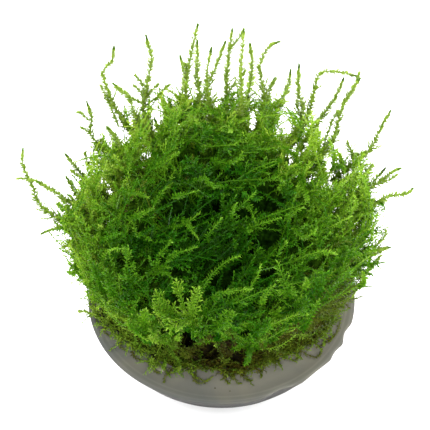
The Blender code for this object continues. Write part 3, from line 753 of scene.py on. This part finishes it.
def gel_material():
    """Return the cloudy grey jelly, paler and warmer inside, with painted shade towards its edge and down
    its front side, two painted highlight lines near its rim, and painted light on its right.
    """
    material, tree = new_material("nutrient_gel")
    colour = add_ramp(tree, mottle(tree, 55, detail=4, distortion=1.2), GEL_CLOUD)
    place = add_node(tree, "TexCoord").outputs["Object"]
    lengths = 1.0 / np.array((GEL_TOP_RADIUS, -GEL_TOP_RADIUS, GEL_HEIGHT)) / MM
    shares = add_node(tree, "VectorMath", {0: place, 1: lengths}, operation="MULTIPLY").outputs["Vector"]
    right, front, height = add_node(tree, "SeparateXYZ", {0: shares}).outputs
    level = add_node(tree, "VectorMath", {0: shares, 1: (1, 1, 0)}, operation="MULTIPLY")
    reach = add_node(tree, "VectorMath", {0: level.outputs["Vector"]}, operation="LENGTH").outputs["Value"]
    # Painted shade on the side and towards the rim, painted highlight lines at the rim and painted light on
    # the right, all in the colour.
    front_share = add_ramp(tree, front, GEL_FRONT_SHARES)
    side = mixed(tree, front_share, grey(GEL_SIDE_PAINTED_SHADE), add_ramp(tree, height, GEL_FRONT_SIDE_PAINTED_SHADES))
    top_share = add_ramp(tree, height, GEL_TOP_SHARES)
    shade = mixed(tree, top_share, side, add_ramp(tree, reach, GEL_RIM_PAINTED_SHADE_AND_HIGHLIGHTS))
    colour = mixed(tree, 1, colour, add_ramp(tree, right, GEL_RIGHT_PAINTED_LIGHT), "MULTIPLY")
    colour = mixed(tree, 1, colour, shade, "MULTIPLY")
    show(tree, solid_shader(tree, colour, roughness=0.4, specular=0.05, ior=1.34))
    return material


def waves(points, scale, seed):
    """Return a smooth value between about -1 and 1 that wanders over space."""
    phases = np.random.default_rng(seed)
    total = np.zeros(len(points))
    for _ in range(5):
        heading = unit(phases.normal(size=3))
        total += np.sin(points @ heading * scale * phases.uniform(0.7, 1.5) + phases.uniform(0, TAU))
    return total / 2.6


def hump(offset):
    """Return a smooth hump that is 1 at no offset and 0 from an offset of 1 on."""
    return 0.5 * (1 + np.cos(math.pi * np.clip(offset, -1, 1)))


def around(reach, turn, height):
    """Return the points at a reach from the axis, a turn in radians and a height."""
    x, y, z = np.broadcast_arrays(reach * np.cos(turn), reach * np.sin(turn), height)
    return np.stack((x, y, z), axis=-1)


def bearings(points):
    """Return the bearings of points round the axis in degrees."""
    return np.degrees(np.arctan2(points[:, 1], points[:, 0]))


def dome_reach(directions):
    """Return how far the dense moss reaches from its heart in each direction."""
    polar = np.degrees(np.arccos(np.clip(directions[:, 2], -1, 1)))
    reach = np.interp(polar, DOME_ANGLES, DOME_REACHES)
    bearing = np.degrees(np.arctan2(directions @ TO_TOP, directions @ TO_RIGHT))
    edge = 1 - np.abs(directions @ TO_VIEWER)
    for middle, extra, half_width in LOBES:
        reach += extra * edge * hump((bearing - middle) / half_width)
    return reach * (1 + 0.025 * waves(directions, 5, 3))


def inside_share(directions):
    """Return how much of the reach the matted inside fills, less where the light comes through."""
    edge = 1 - np.abs(directions @ TO_VIEWER)
    return INSIDE_SHARE - INSIDE_THINNING * edge ** 2


def in_dome(directions, share):
    """Return the point at a share of the dome's reach in each direction, cut back at the front."""
    points = directions * (dome_reach(directions) * share)[:, None]
    height = HEART[2] + points[:, 2]
    level = np.maximum(np.linalg.norm(directions[:, :2], axis=1), 1e-6)
    front = np.maximum(0, directions @ TO_FRONT / level)
    low = np.clip((FRONT_CUT_TOP_Z - height) / (FRONT_CUT_TOP_Z - FRONT_CUT_FULL_Z), 0, 1)
    points[:, :2] *= (1 - FRONT_CUT * front * low)[:, None]
    points += HEART
    points[:, 2] = np.maximum(points[:, 2], FOOT_Z + DOME_CLEARANCE)
    return points


def drawn_place(points):
    """Return where points are drawn, as the viewer sees them."""
    nearer = 1 - points @ TO_VIEWER / VIEW_DISTANCE
    return np.stack((points @ TO_RIGHT, points @ TO_TOP), axis=-1) / nearer[..., None]


def on_near_side(points):
    """Return which points lie well on the near side of the heart."""
    return (points - HEART) @ TO_VIEWER > HOLLOW_DEPTH


def in_gaps(paths, gaps, near_only):
    """Return which points of the paths lie in one of the gaps, on the near side only or at any depth."""
    place = drawn_place(paths)
    found = np.zeros(paths.shape[:2], dtype=bool)
    for x, y, half_width, half_height in gaps:
        offset = (place - (x, y)) / (half_width + LEAF_CLEARANCE, half_height + LEAF_CLEARANCE)
        found |= np.sum(offset ** 2, axis=-1) < 1
    return found & on_near_side(paths) if near_only else found


def trimmed(paths, gaps, near_only):
    """Return the paths, cut short where they would enter a gap, and which are still long enough."""
    count, steps, _ = paths.shape
    inside = in_gaps(paths, gaps, near_only)
    before = np.maximum(np.argmax(inside, axis=1) - 0.7, 0) / (steps - 1)
    share = np.where(inside.any(axis=1), before, 1)
    places = (share[:, None] * np.linspace(0, 1, steps)[None, :]).ravel()
    cut = on_path(paths, np.repeat(np.arange(count), steps), places)
    return cut.reshape(paths.shape), share > SHORTEST_SHARE


def clear_of_gaps(paths):
    """Return the paths cut short before every gap and hollow, and which of them stay."""
    paths, kept = trimmed(paths, SIGHT_GAPS, False)
    paths, kept_too = trimmed(paths, HOLLOWS, True)
    return paths, kept & kept_too


def beside_near_shoots(paths):
    """Return which paths end just below a near shoot, where the photographed side is dark."""
    routes = np.reshape(NEAR_SHOOTS + NEAR_SPRAYS, (-1, 3, 2))
    strips = bows_through(*routes.swapaxes(0, 1), 8).reshape(-1, 2) + SHADE_SHIFT
    tips = paths[:, -1]
    apart = np.linalg.norm(drawn_place(tips)[:, None] - strips[None], axis=2).min(axis=1)
    return (apart < SHADE_REACH) & on_near_side(tips)


def is_old(paths, spread, rng):
    """Return which shoots are old olive-brown ones, near the gel or in a brownish patch."""
    points = paths[:, -1]
    drawn = drawn_place(points)
    line = np.interp(drawn[:, 0], *zip(*OLD_LINE))
    unevenness = rng.normal(0, spread, len(points))
    in_front = (points[:, 1] < 0) & (drawn[:, 1] < line + unevenness * 0.6)
    behind = (points[:, 1] >= 0) & (points[:, 2] < OLD_TOP_Z + unevenness)
    return in_front | behind | in_gaps(paths[:, -1:], BROWN_PATCHES, True)[:, 0]


def old_looks(points, rng):
    """Return the ages at root and tip and the tones of old growth, by its bearing."""
    turns, greens, lights = np.transpose(OLD_LOOKS)
    green = np.interp(bearings(points), turns, greens) + rng.normal(0, 0.14, len(points))
    light = np.interp(bearings(points), turns, lights) + rng.normal(0, 0.12, len(points))
    return aged(green + 0.12, 0.32), np.clip(light, 0.02, 0.97)


def spread_directions(count, lowest, rng, jitter):
    """Return directions spaced evenly over the dome, from the top down to a lowest height."""
    index = np.arange(count)
    height = 1 - (1 - lowest) * (index + 0.5) / count
    directions = around(np.sqrt(1 - height * height), GOLDEN_ANGLE * index, height)
    return unit(directions + rng.normal(0, jitter, directions.shape))


def flow(directions):
    """Return the way the shoots lie over the dome: up at the sides, to the upper right in front."""
    facing = np.maximum(0, directions @ TO_VIEWER)[:, None]
    drift = (0.55 * TO_RIGHT + 0.35 * TO_TOP) * facing
    lift = 0.45 * UPRIGHT * np.sqrt(1 - directions[:, 2:] ** 2)
    return drift + lift + np.stack([waves(directions, 6, seed) for seed in (11, 12, 13)], axis=1) * 0.16


def leaned(directions, share, looseness, rng):
    """Return directions turned by a share of the shoots' flow, and a little at random."""
    return unit(directions + flow(directions) * share + rng.normal(0, looseness, directions.shape))


def toward(points, way):
    """Return how far points lie in a direction, as seen from the heart, from -1 to 1."""
    return unit(points - HEART) @ way


def shaded_middle(points):
    """Return 1 in the middle that faces the viewer, where the moss carries the most painted shade and is
    deepest green, and 0 at its outside edges.
    """
    return np.clip(toward(points, SHADED_POLE), 0, 1) ** 1.8


def turned_away(points):
    """Return how far each point faces away from the viewer, from 0 at the outline to 1."""
    return np.clip((-toward(points, TO_VIEWER) - 0.3) / 0.5, 0, 1)


def in_corners(points):
    """Return how far each point lies in the upper left or upper right of the picture, up to 1."""
    return 2 * np.maximum(0, toward(points, TO_TOP)) * np.abs(toward(points, TO_RIGHT))


def at_sides(points):
    """Return how far points stand at the right edge of the view, or half that at the left one."""
    right = toward(points, TO_RIGHT)
    level = 1 - np.maximum(0, toward(points, TO_TOP))
    return np.where(right > 0, 1, 0.5) * np.clip((np.abs(right) - 0.55) / 0.35, 0, 1) * level


def moss_tone(points):
    """Return how yellow the moss is at each point: patchy, with painted shade over the middle that faces
    the viewer, darker on the far side, to the front, to the right and at the sides of the view, and painted
    light through its outside edges and upper corners, which are fresher.
    """
    front = np.maximum(0, toward(points, TO_FRONT))
    right = np.maximum(0, toward(points, TO_RIGHT))
    darker = 0.54 * shaded_middle(points) + 0.25 * front + 0.55 * turned_away(points) + 0.1 * right
    darker += 0.04 * at_sides(points)
    return 0.78 - darker + 0.2 * in_corners(points) + 0.12 * waves(points, 0.33, 21)


def tip_age(points, freshest, deepening, spread, rng):
    """Return how fresh the tips of shoots are at points: less under the painted shade of the middle, on the
    far side and at the sides, and more as painted light in the upper corners.
    """
    age = freshest - deepening * shaded_middle(points) - 0.25 * turned_away(points)
    age += 0.1 * in_corners(points) - 0.14 * at_sides(points)
    return age + rng.normal(0, spread, len(points))


def branching(paths, reference, owner, share, length, spread, rng):
    """Return paths that branch off their owners at a share of their length, to both sides in turn."""
    values = (paths, *path_frames(paths, reference))
    start, along, aside, rise = (on_path(value, owner, share) for value in values)
    along = unit(along)
    aside *= np.where(np.arange(len(owner)) % 2 == 0, 1, -1)[:, None]
    lean_along, lean_aside, lean_up, looseness, back = spread
    heading = along * lean_along + aside * lean_aside + rise * lean_up
    reach = unit(heading + rng.normal(0, looseness, start.shape)) * length[:, None]
    return bows(start, start + reach * 0.5, start + reach + along * length[:, None] * back, 4)


def add_spray(bed, paths, facing, newest, tones, kind, rng):
    """Add feathered sprays: leafy axes with side branches in two rows, flat towards a direction."""
    branches, longest, leaf = kind
    facing = np.broadcast_to(facing, (len(paths), 3))
    style = dict(LEAFY, leaf=leaf + 0.1, flat=0.35, bare=0.12)
    grow(bed, paths, style, aged(newest, 0.35), tones, rng, facing)
    owner = np.repeat(np.arange(len(paths)), branches)
    order = np.tile(np.arange(branches), len(paths))
    share = 0.2 + 0.66 * (order + rng.uniform(-0.3, 0.3, len(owner))) / (branches - 1)
    length = longest * (1 - 0.6 * share) * rng.uniform(0.6, 1.25, len(owner))
    side_paths = branching(paths, facing, owner, share, length, SPRAY_SPREAD, rng)
    in_old_growth = is_old(side_paths, 0.5, rng)
    side_paths, kept = clear_of_gaps(side_paths)
    kept &= ~in_old_growth
    owner = owner[kept]
    style = dict(EVEN, leaf=leaf, flat=0.4, stem=0.11)
    ages = aged(newest[owner] - 0.02, 0.23)
    grow(bed, side_paths[kept], style, ages, tones[owner], rng, facing[owner])


def in_sides(directions, points, low):
    """Return which points belong to each named side of the dome."""
    bearing = bearings(points)
    high = (directions[:, 2] > 0.72) & ~low
    middle = ~high & ~low
    return {
        "top": high,
        "low": low,
        "front_left": middle & (bearing < -90),
        "front_right": middle & (bearing >= -90) & (bearing < 0),
        "back_right": middle & (bearing >= 0) & (bearing < 90),
        "back_left": middle & (bearing >= 90),
    }


def make_sides(label, sides, kept, materials, grow_side):
    """Make one piece for each side of the dome, with a function that grows the chosen shoots."""
    pieces = []
    for name, chosen in sides.items():
        chosen &= kept
        if chosen.any():
            bed = Bed()
            grow_side(bed, chosen)
            pieces.append(add_moss(label + name, bed, materials["old" if name == "low" else "moss"]))
    return pieces


def make_coat(materials, rng):
    """Grow the dense coat of leafy shoots over the whole dome, one piece for each side of it."""
    directions = spread_directions(COAT_COUNT, DOME_LOWEST, rng, 0.03)
    unevenness = rng.uniform(-COAT_ROOT_SPREAD, COAT_ROOT_SPREAD, COAT_COUNT)
    root = in_dome(directions, inside_share(directions) + unevenness)
    tip = in_dome(leaned(directions, 0.3, 0.17, rng), rng.uniform(*COAT_TIP_SHARES, COAT_COUNT))
    bend = standing_out(root, tip, directions, 0.5)
    paths = wandering(bows(root, bend, tip, 6), 0.3, rng)
    tones = np.clip(moss_tone(tip) + rng.normal(0, 0.13, COAT_COUNT), 0.03, 0.97)
    newest = tip_age(tip, 0.95, 0.47, 0.08, rng)
    # Painted light: the roots are made newer and lighter at the outline and in the upper corners, where
    # light comes through.
    painted_backlight = (1 - shaded_middle(tip)) ** 1.5 * (1 - turned_away(tip))
    oldest = rng.uniform(0.15, 0.35, COAT_COUNT) + 0.5 * painted_backlight + 0.2 * in_corners(tip)
    ages = np.stack((oldest, newest), axis=1)
    low = is_old(paths, 2, rng)
    ages[low], tones[low] = old_looks(tip[low], rng)
    paths, kept = clear_of_gaps(paths)
    kept &= ~(beside_near_shoots(paths) & (rng.uniform(0, 1, COAT_COUNT) < SHADE_SHARE))

    def grow_side(bed, chosen):
        grow(bed, paths[chosen], COAT_SHOOT, ages[chosen], tones[chosen], rng)

    return make_sides("moss_coat_", in_sides(directions, tip, low), kept, materials, grow_side)


def make_sprays(materials, rng):
    """Grow the feathered sprays that lie over the coat, one piece for each side of the dome."""
    directions = spread_directions(SPRAY_COUNT, -0.32, rng, 0.05)
    root = in_dome(directions, rng.uniform(*SPRAY_ROOT_SHARES, SPRAY_COUNT))
    tip = in_dome(leaned(directions, 0.4, 0.2, rng), rng.uniform(*SPRAY_TIP_SHARES, SPRAY_COUNT))
    outward = unit(root - HEART)
    bend = standing_out(root, tip, outward, 0.4)
    paths = wandering(bows(root, bend, tip, 7), 0.35, rng)
    tones = np.clip(moss_tone(tip) + 0.05 + rng.normal(0, 0.12, SPRAY_COUNT), 0.05, 0.97)
    newest = tip_age(tip, 0.94, 0.38, 0.07, rng)
    facing = unit(outward + rng.normal(0, 0.3, outward.shape))
    low = is_old(paths, 1.5, rng) | is_old(paths[:, :4], 1, rng)
    paths, kept = clear_of_gaps(paths)
    kept &= ~low & ~beside_near_shoots(paths)

    def grow_side(bed, chosen):
        add_spray(bed, paths[chosen], facing[chosen], newest[chosen], tones[chosen], COAT_SPRAY, rng)

    return make_sides("moss_sprays_", in_sides(directions, tip, low), kept, materials, grow_side)


def on_coat(place, share):
    """Return the point at a share of the dome's reach, on its near side, that is drawn at a place."""
    directions = spread_directions(20000, DOME_LOWEST, np.random.default_rng(0), 0)
    surface = in_dome(directions[directions @ TO_VIEWER > -0.1], share)
    return surface[np.argmin(np.sum((drawn_place(surface) - place) ** 2, axis=1))]


def coat_path(row, shares, steps, rng):
    """Return a winding path over the near side of the coat through three drawn points."""
    places = np.reshape(row, (3, 2))
    points = [on_coat(place, share)[None] for place, share in zip(places, shares)]
    return wandering(bows_through(*points, steps), 0.25, rng)


def drawn_path(row, steps):
    """Return a path through three drawn points, at the depth that ends the row."""
    *drawn, depth = row
    places = np.reshape(drawn, (3, 2)) * (1 - depth / VIEW_DISTANCE)
    root, middle, tip = (from_view(*place, depth)[None] for place in places)
    return bows_through(root + (root - tip) * 0.3, middle, tip, steps)


def from_view(right, up, toward_viewer):
    """Turn a point on the leaning drawing plane into the clump's own frame."""
    return TO_RIGHT * right + TO_TOP * up + TO_VIEWER * toward_viewer


def grow_near_side(bed, rng):
    """Grow the sprays and single shoots that stand out on the near side."""
    for row in NEAR_SPRAYS:
        path = coat_path(row, NEAR_SPRAY_SHARES, 7, rng)
        # Painted light: sprays near the lit place get newer, lighter leaves.
        lit = math.exp(-np.sum(np.square(np.array(row[2:4]) - LIT_FROND_PLACE)) / LIT_FROND_REACH ** 2)
        newest = rng.normal(0.8 + 0.1 * lit, 0.03, 1)
        add_spray(bed, path, TO_VIEWER, newest, rng.normal(0.3 + 0.25 * lit, 0.06, 1), NEAR_SPRAY, rng)
    for row in NEAR_SHOOTS:
        path = coat_path(row, NEAR_SHOOT_SHARES, 8, rng)
        # Painted shade: shoots in the shaded middle get older, darker leaves, smaller and set further
        # apart.
        deep = shaded_middle(path[:, -1])
        low = np.clip(-drawn_place(path[:, -1])[:, 1] / 10, 0, 1)
        style = dict(NEAR_SHOOT, leaf=1.1 - 0.15 * deep[0], gap=0.12 + 0.02 * deep[0])
        ages = aged(0.97 - 0.17 * deep - 0.4 * low, 0.25)
        grow(bed, path, style, ages, 0.7 - 0.4 * deep - 0.3 * low, rng, TO_VIEWER)


def grow_strays(bed, rng):
    """Grow single shoots that stand a little way out of the coat all round its upper part."""
    directions = spread_directions(STRAY_COUNT, -0.05, rng, 0.12)
    directions = directions[directions @ TO_VIEWER < 0.4]
    count = len(directions)
    root = in_dome(directions, rng.uniform(*STRAY_ROOT_SHARES, count))
    leaning = leaned(directions, 0.2, 0.14, rng)
    tip = in_dome(leaning, STRAY_TIP_SHARE + STRAY_TIP_SPREAD * rng.uniform(0, 1, count) ** 1.6)
    bend = standing_out(root, tip, unit(root - HEART), 0.4) + rng.normal(0, 0.7, root.shape)
    paths = wandering(bows(root, bend, tip, 7), 0.3, rng)
    old = is_old(paths, 1, rng)
    paths, kept = clear_of_gaps(paths)
    kept &= ~old
    newest = rng.uniform(0.75, 0.95, count) - 0.2 * at_sides(tip)
    tones = rng.uniform(0.4, 0.8, count) - 0.08 * at_sides(tip)
    grow(bed, paths[kept], STRAY_SHOOT, aged(newest, 0.35)[kept], tones[kept], rng)


def grow_twigs(bed, rows, style, rng):
    """Grow a single twig along each drawn row."""
    for row in rows:
        grow(bed, drawn_path(row, 6), style, TWIG_AGES, rng.uniform(*TWIG_TONES, 1), rng, TO_VIEWER)


def grow_outer_edge(bed, rng):
    """Grow the sprays and the crossing twigs that stand at the far edge of the coat."""
    for row in OUTER_SPRAYS:
        path = drawn_path(row, 7)
        newest = rng.uniform(0.88, 0.98, 1) - 0.2 * at_sides(path[:, -1])
        add_spray(bed, path, TO_VIEWER, newest, rng.uniform(0.65, 0.9, 1), OUTER_SPRAY, rng)
    grow_twigs(bed, OUTER_TWIGS, OUTER_TWIG, rng)


def grow_free_twigs(bed, rng):
    """Grow the short twigs that stand free beside the long shoots and round the coat's outline."""
    grow_twigs(bed, FREE_TWIGS, FREE_TWIG, rng)


def gel_points(drawn, height):
    """Return the points at a height that are drawn at places on the drawing plane."""
    right, up = np.transpose(drawn)
    raised = up * (1 - height * SINE / VIEW_DISTANCE) - height * COSINE
    depth = raised / (SINE - up * COSINE / VIEW_DISTANCE)
    nearer = 1 - (height * SINE - depth * COSINE) / VIEW_DISTANCE
    return np.stack((right * nearer, depth, np.full(len(right), height)), axis=1)


def foot_reach(bearing):
    """Return how far out the moss stands on the gel at a bearing in radians."""
    line = gel_points(FOOT_LINE, FOOT_Z)
    turns = (-180, *bearings(line), 10, 180)
    reaches = (BACK_FOOT_REACH, *np.linalg.norm(line[:, :2], axis=1), BACK_FOOT_REACH, BACK_FOOT_REACH)
    return np.interp(np.degrees(bearing), turns, reaches)


def grow_rim(bed, rng):
    """Grow the short olive-brown shoots at the foot of the moss, some lying on the gel."""
    bearing = rng.uniform(-math.pi, math.pi, RIM_COUNT)
    inward = np.abs(rng.normal(0, RIM_DEPTH, RIM_COUNT))
    lowest = FOOT_Z + RIM_CLEARANCE
    height = lowest + inward * rng.uniform(0.1, 0.9, RIM_COUNT)
    root = around(foot_reach(bearing) - inward - RIM_INSET, bearing, height)
    out = around(1, bearing, 0)
    swing = around(1, bearing + math.pi / 2, 0)
    heading = out * rng.uniform(0, 0.7, (RIM_COUNT, 1)) + swing * rng.normal(0, 1, (RIM_COUNT, 1))
    heading = unit(heading + UPRIGHT * rng.uniform(-0.1, 0.5, (RIM_COUNT, 1)))
    length = rng.uniform(*RIM_LENGTHS, (RIM_COUNT, 1))
    tip = root + heading * length
    tip[:, 2] = np.maximum(tip[:, 2], lowest)
    bend = root + heading * length * 0.5 + 0.7 * UPRIGHT
    ages, tones = old_looks(root, rng)
    edge = np.exp(-inward / 1.3)
    ages += 0.3 * edge[:, None]
    tones = np.clip(tones + 0.35 * edge, 0.02, 0.97)
    paths, kept = trimmed(bows(root, bend, tip, 5), HOLLOWS, True)
    grow(bed, paths[kept], RIM_SHOOT, ages[kept], tones[kept], rng)
    for row in FOOT_SHOOTS:
        start, middle, end = gel_points(np.reshape(row, (3, 2)), FOOT_Z + LYING_CLEARANCE)[:, None]
        path = bows_through(start * (0.94, 0.94, 1), middle, end, 7)
        ages = rng.uniform(0.4, 0.5) + np.array((0.0, 0.3))
        grow(bed, path, LYING_SHOOT, ages, rng.uniform(0.6, 0.85), rng, UPRIGHT)


def back_points(bearing, root_z, reach, tip_z):
    """Return the points of a shoot that leans out and up on the side away from the viewer."""
    turn = math.radians(bearing)
    root = around(BACK_ROOT_RADIUS, turn, root_z)
    tip = around(reach, turn, tip_z)
    sag = 0.12 * (reach - BACK_ROOT_RADIUS)
    return [root, root * 0.45 + tip * 0.55 - sag * UPRIGHT, tip]


def smooth_route(points, step):
    """Return closely spaced points on a smooth curve through the given ones."""
    ends = [2 * points[0] - points[1], *points, 2 * points[-1] - points[-2]]
    route = []
    for before, start, end, after in zip(ends, ends[1:], ends[2:], ends[3:]):
        count = max(2, int(np.linalg.norm(end - start) / step))
        t = (np.arange(count) / count)[:, None]
        square = (2 * before - 5 * start + 4 * end - after) * t ** 2
        cube = (3 * start - before - 3 * end + after) * t ** 3
        route.append(0.5 * (2 * start + (end - before) * t + square + cube))
    return np.concatenate(route + [points[-1][None]])


def add_twigs(bed, route, rng):
    """Add short side twigs to the lower part of one free shoot."""
    count = max(2, int(path_lengths(route)[0] / TWIG_GAP))
    share = rng.uniform(*TWIG_PLACES, count)
    length = rng.uniform(*TWIG_LENGTHS, count) * (1.15 - share)
    paths = branching(route, TO_VIEWER, np.zeros(count, dtype=int), share, length, TWIG_SPREAD, rng)
    grow(bed, paths, SIDE_TWIG, SIDE_TWIG_AGES, rng.uniform(*SIDE_TWIG_TONES, count), rng)


def make_long_shoots(materials, rng):
    """Grow each free shoot along its route, from inside the coat to its tip and its dark closed bud."""
    routes = {}
    for side, shoots in LONG_SHOOTS.items():
        for number, drawn in enumerate(shoots, 1):
            routes[f"shoot_{side}_{number}"] = [from_view(*point) for point in drawn]
    for number, values in enumerate(BACK_SHOOTS, 1):
        routes[f"shoot_back_{number}"] = back_points(*values)
    pieces = {}
    for name, points in routes.items():
        route = smooth_route([points[0] * 0.75 + HEART * 0.25] + points, 1)[None]
        bed = Bed()
        high = np.clip((points[-1] @ TO_TOP - PALE_HEIGHT) / 8, 0, 1)
        tone = rng.uniform(*FREE_TONES) + 0.26 * high
        grow(bed, route[:, :1 - BUD_STEPS], FREE_SHOOT, FREE_AGES, tone, rng, TO_VIEWER)
        add_twigs(bed, route, rng)
        grow(bed, route[:, -BUD_STEPS:], BUD, BUD_AGES, BUD_TONE, rng)
        pieces[name] = add_moss("long_" + name, bed, materials["shoot"])
    return pieces


def gel_profile():
    """Return the radius, height and share of the chips along the gel's outline, from its foot up."""
    slope = math.atan2(GEL_HEIGHT, GEL_TOP_RADIUS - GEL_FOOT_RADIUS)
    arc_radius = GEL_FOOT_RADIUS - GEL_EDGE_ROUND * math.tan(slope / 2)
    points = []
    for angle in np.linspace(0, slope, GEL_EDGE_STEPS):
        height = GEL_EDGE_ROUND * (1 - math.cos(angle))
        points.append((arc_radius + GEL_EDGE_ROUND * math.sin(angle), height, 0.5 * height / GEL_HEIGHT))
    start_radius, start_height, _ = points[-1]
    inward, drop = GEL_SIDE_END
    for part in np.arange(1, GEL_SIDE_STEPS + 1) / GEL_SIDE_STEPS:
        radius = start_radius + (GEL_TOP_RADIUS - inward - start_radius) * part
        height = start_height + (GEL_HEIGHT - drop - start_height) * part
        points.append((radius, height, 0.2 + 0.8 * part))
    points += [(GEL_TOP_RADIUS - inward, GEL_HEIGHT - drop, share) for inward, drop, share in GEL_LIP]
    return points + [(radius, FOOT_Z, 0) for radius in GEL_TOP_RINGS]


def make_ringed(name, rings, first, material):
    """Make a closed object of rings of points. A side face's first corner sets its diagonal."""
    bm = bmesh.new()
    rings = [[bm.verts.new(point * MM) for point in ring] for ring in rings]
    for lower, upper in zip(rings, rings[1:]):
        for side in range(len(lower)):
            corners = (lower[side - 1], lower[side], upper[side], upper[side - 1])
            bm.faces.new(corners[first:] + corners[:first])
    bm.faces.new(rings[0][::-1])
    bm.faces.new(rings[-1])
    return add_object(name, smooth_mesh(name, bm), material)


def make_gel():
    """Turn the gel disc, with its low lip, rounded foot and chipped rim."""
    turns = np.linspace(-180, 180, GEL_RING_STEPS, endpoint=False)
    chips = np.max([depth * hump((turns - middle) / width) for middle, depth, width in GEL_CHIPS], axis=0)
    profile = gel_profile()
    rings = [around(radius - share * chips, np.radians(turns), height) for radius, height, share in profile]
    return make_ringed("gel", rings, 0, gel_material())


def make_litter():
    """Lay the thin mat of old growth that covers the gel under the moss, near black with painted shade."""
    turns = TAU * np.arange(LITTER_RING_STEPS) / LITTER_RING_STEPS - math.pi
    shares = np.linspace(1, LITTER_SMALLEST, LITTER_RINGS)[:, None]
    reach = (foot_reach(turns) - LITTER_MARGIN) * shares
    reach += LITTER_WANDERING * shares * waves(around(1, turns, 0), 19, 51)
    ground = FOOT_Z + LITTER_CLEARANCE
    top = around(reach, turns, ground + LITTER_HEIGHT * (1 - shares ** 6))
    bumps = waves(top.reshape(-1, 3), 2.6, 52).reshape(reach.shape)
    top[..., 2] += LITTER_BUMPS * (bumps + 1) * (top[..., 2] > ground)
    foot = around(reach[0], turns, ground - 0.05)
    material = mottled_material("litter", LITTER_SHADE_COLOURS, 900, 1)
    return make_ringed("moss_litter", [foot, *top], 3, material)


def make_crumbs(name, places, size, turn, unevenness, material):
    """Lay small uneven lumps on the gel at drawn places, as one object."""
    bm = bmesh.new()
    for index, place in enumerate(gel_points(places, FOOT_Z + size[2] * 0.6)):
        lump = bmesh.ops.create_icosphere(bm, subdivisions=3, radius=1)["verts"]
        ball = np.array([vert.co[:] for vert in lump])
        swell = 1 + unevenness * waves(ball, 3.5, 40 + index)
        cosine, sine = math.cos(turn), math.sin(turn)
        x, y, z = (ball * swell[:, None] * size).T
        turned = np.stack((x * cosine - y * sine, x * sine + y * cosine, z), axis=1)
        for vert, point in zip(lump, turned + place):
            vert.co = Vector(point * MM)
    return add_object(name, smooth_mesh(name, bm), material)


def make_gel_crumbs():
    """Lay the pale scrap and the dark grains on the gel."""
    pale = mottled_material("pale_scrap", SCRAP_COLOURS, 900, 0.35)
    dark = mottled_material("dark_grain", GRAIN_COLOURS, 2000, 0.6)
    scrap = make_crumbs("gel_scrap", SCRAP_PLACES, SCRAP_SIZE, SCRAP_TURN, 0.3, pale)
    return [scrap, make_crumbs("gel_grains", GRAIN_PLACES, GRAIN_SIZE, 0, 0.2, dark)]


def make_inside():
    """Build the matted inner growth, a rough lump that the shoots stand out of."""
    bm = bmesh.new()
    bmesh.ops.create_icosphere(bm, subdivisions=6, radius=1)
    directions = unit(np.array([vert.co[:] for vert in bm.verts]))
    rough = waves(directions, 26, 31) + waves(directions, 60, 32)
    points = in_dome(directions, inside_share(directions) + 0.03 * rough)
    for vert, point in zip(bm.verts, points):
        vert.co = Vector(point * MM)
    mesh = smooth_mesh("moss_inside", bm)
    # Painted light: the lump is lighter high up and away from the shaded middle.
    high = np.clip((points[:, 2] - OLD_TOP_Z) / OLD_TOP_Z, 0, 1)
    keep_values(mesh, "painted_light_through", (1 - shaded_middle(points)) ** 2 * high)
    return add_object("moss_inside", mesh, inner_material())


def make_floor():
    """Lay the plain pale floor."""
    mesh = bpy.data.meshes.new("floor")
    ways = ((-1, -1), (1, -1), (1, 1), (-1, 1))
    mesh.from_pydata([(x * FLOOR_HALF, y * FLOOR_HALF, -FLOOR_DROP) for x, y in ways], [], [(0, 1, 2, 3)])
    material, tree = new_material("pale_floor")
    show(tree, solid_shader(tree, grey(FLOOR_SHADE), roughness=0.8, specular=0))
    add_object("floor", mesh, material)


def turn_to(obj, place, aim):
    """Put a lamp or camera at a place, facing a point."""
    obj.location = place
    obj.rotation_euler = (Vector(aim) - Vector(place)).to_track_quat("-Z", "Y").to_euler()
    bpy.context.scene.collection.objects.link(obj)


def set_light():
    """Light the clump as in a white photo tent, more from its sides and back than from above."""
    world = bpy.data.worlds.new("white_room")
    world.use_nodes = True
    sky = world.node_tree.nodes["Background"]
    sky.inputs["Color"].default_value = grey(1)
    sky.inputs["Strength"].default_value = SKY_STRENGTH
    bpy.context.scene.world = world
    for name, place, size, power in LAMPS:
        light = bpy.data.lights.new(name, "AREA")
        light.size = size
        light.energy = power
        turn_to(bpy.data.objects.new(name, light), place, LAMP_AIM)


def set_camera():
    """Look down on the clump from the front, from about as far off as the photo was taken."""
    camera = bpy.data.cameras.new("camera")
    camera.lens = CAMERA_LENS
    camera.sensor_width = CAMERA_SENSOR
    obj = bpy.data.objects.new("camera", camera)
    turn_to(obj, TO_VIEWER * VIEW_DISTANCE * MM, CAMERA_AIM * MM)
    bpy.context.scene.camera = obj
    bpy.context.scene.view_settings.view_transform = "Standard"


def make_cushion(materials, rng):
    """Grow every piece of the cushion, each from the random draws that the one before it left."""
    pieces = make_coat(materials, rng) + make_sprays(materials, rng)
    growths = (
        ("moss_near_growth", grow_near_side, "moss"),
        ("moss_strays", grow_strays, "moss"),
        ("moss_outer_growth", grow_outer_edge, "moss"),
        ("moss_free_twigs", grow_free_twigs, "shoot"),
        ("moss_rim_growth", grow_rim, "old"),
    )
    for name, grow_part, material in growths:
        bed = Bed()
        grow_part(bed, rng)
        pieces.append(add_moss(name, bed, materials[material]))
    return pieces + [make_inside(), make_litter()]


def main():
    rng = np.random.default_rng(7)
    set_camera()
    set_light()
    make_floor()
    for piece in [make_gel()] + make_gel_crumbs():
        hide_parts("gel_disc")
        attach(piece, "root")
    materials = {name: leaf_material(name + "_leaf", *looks) for name, looks in LEAF_LOOKS.items()}
    for piece in make_cushion(materials, rng):
        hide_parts("moss_cushion")
        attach(piece, "root")
    for node, piece in make_long_shoots(materials, rng).items():
        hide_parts(node)
        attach(piece, "root")


main()
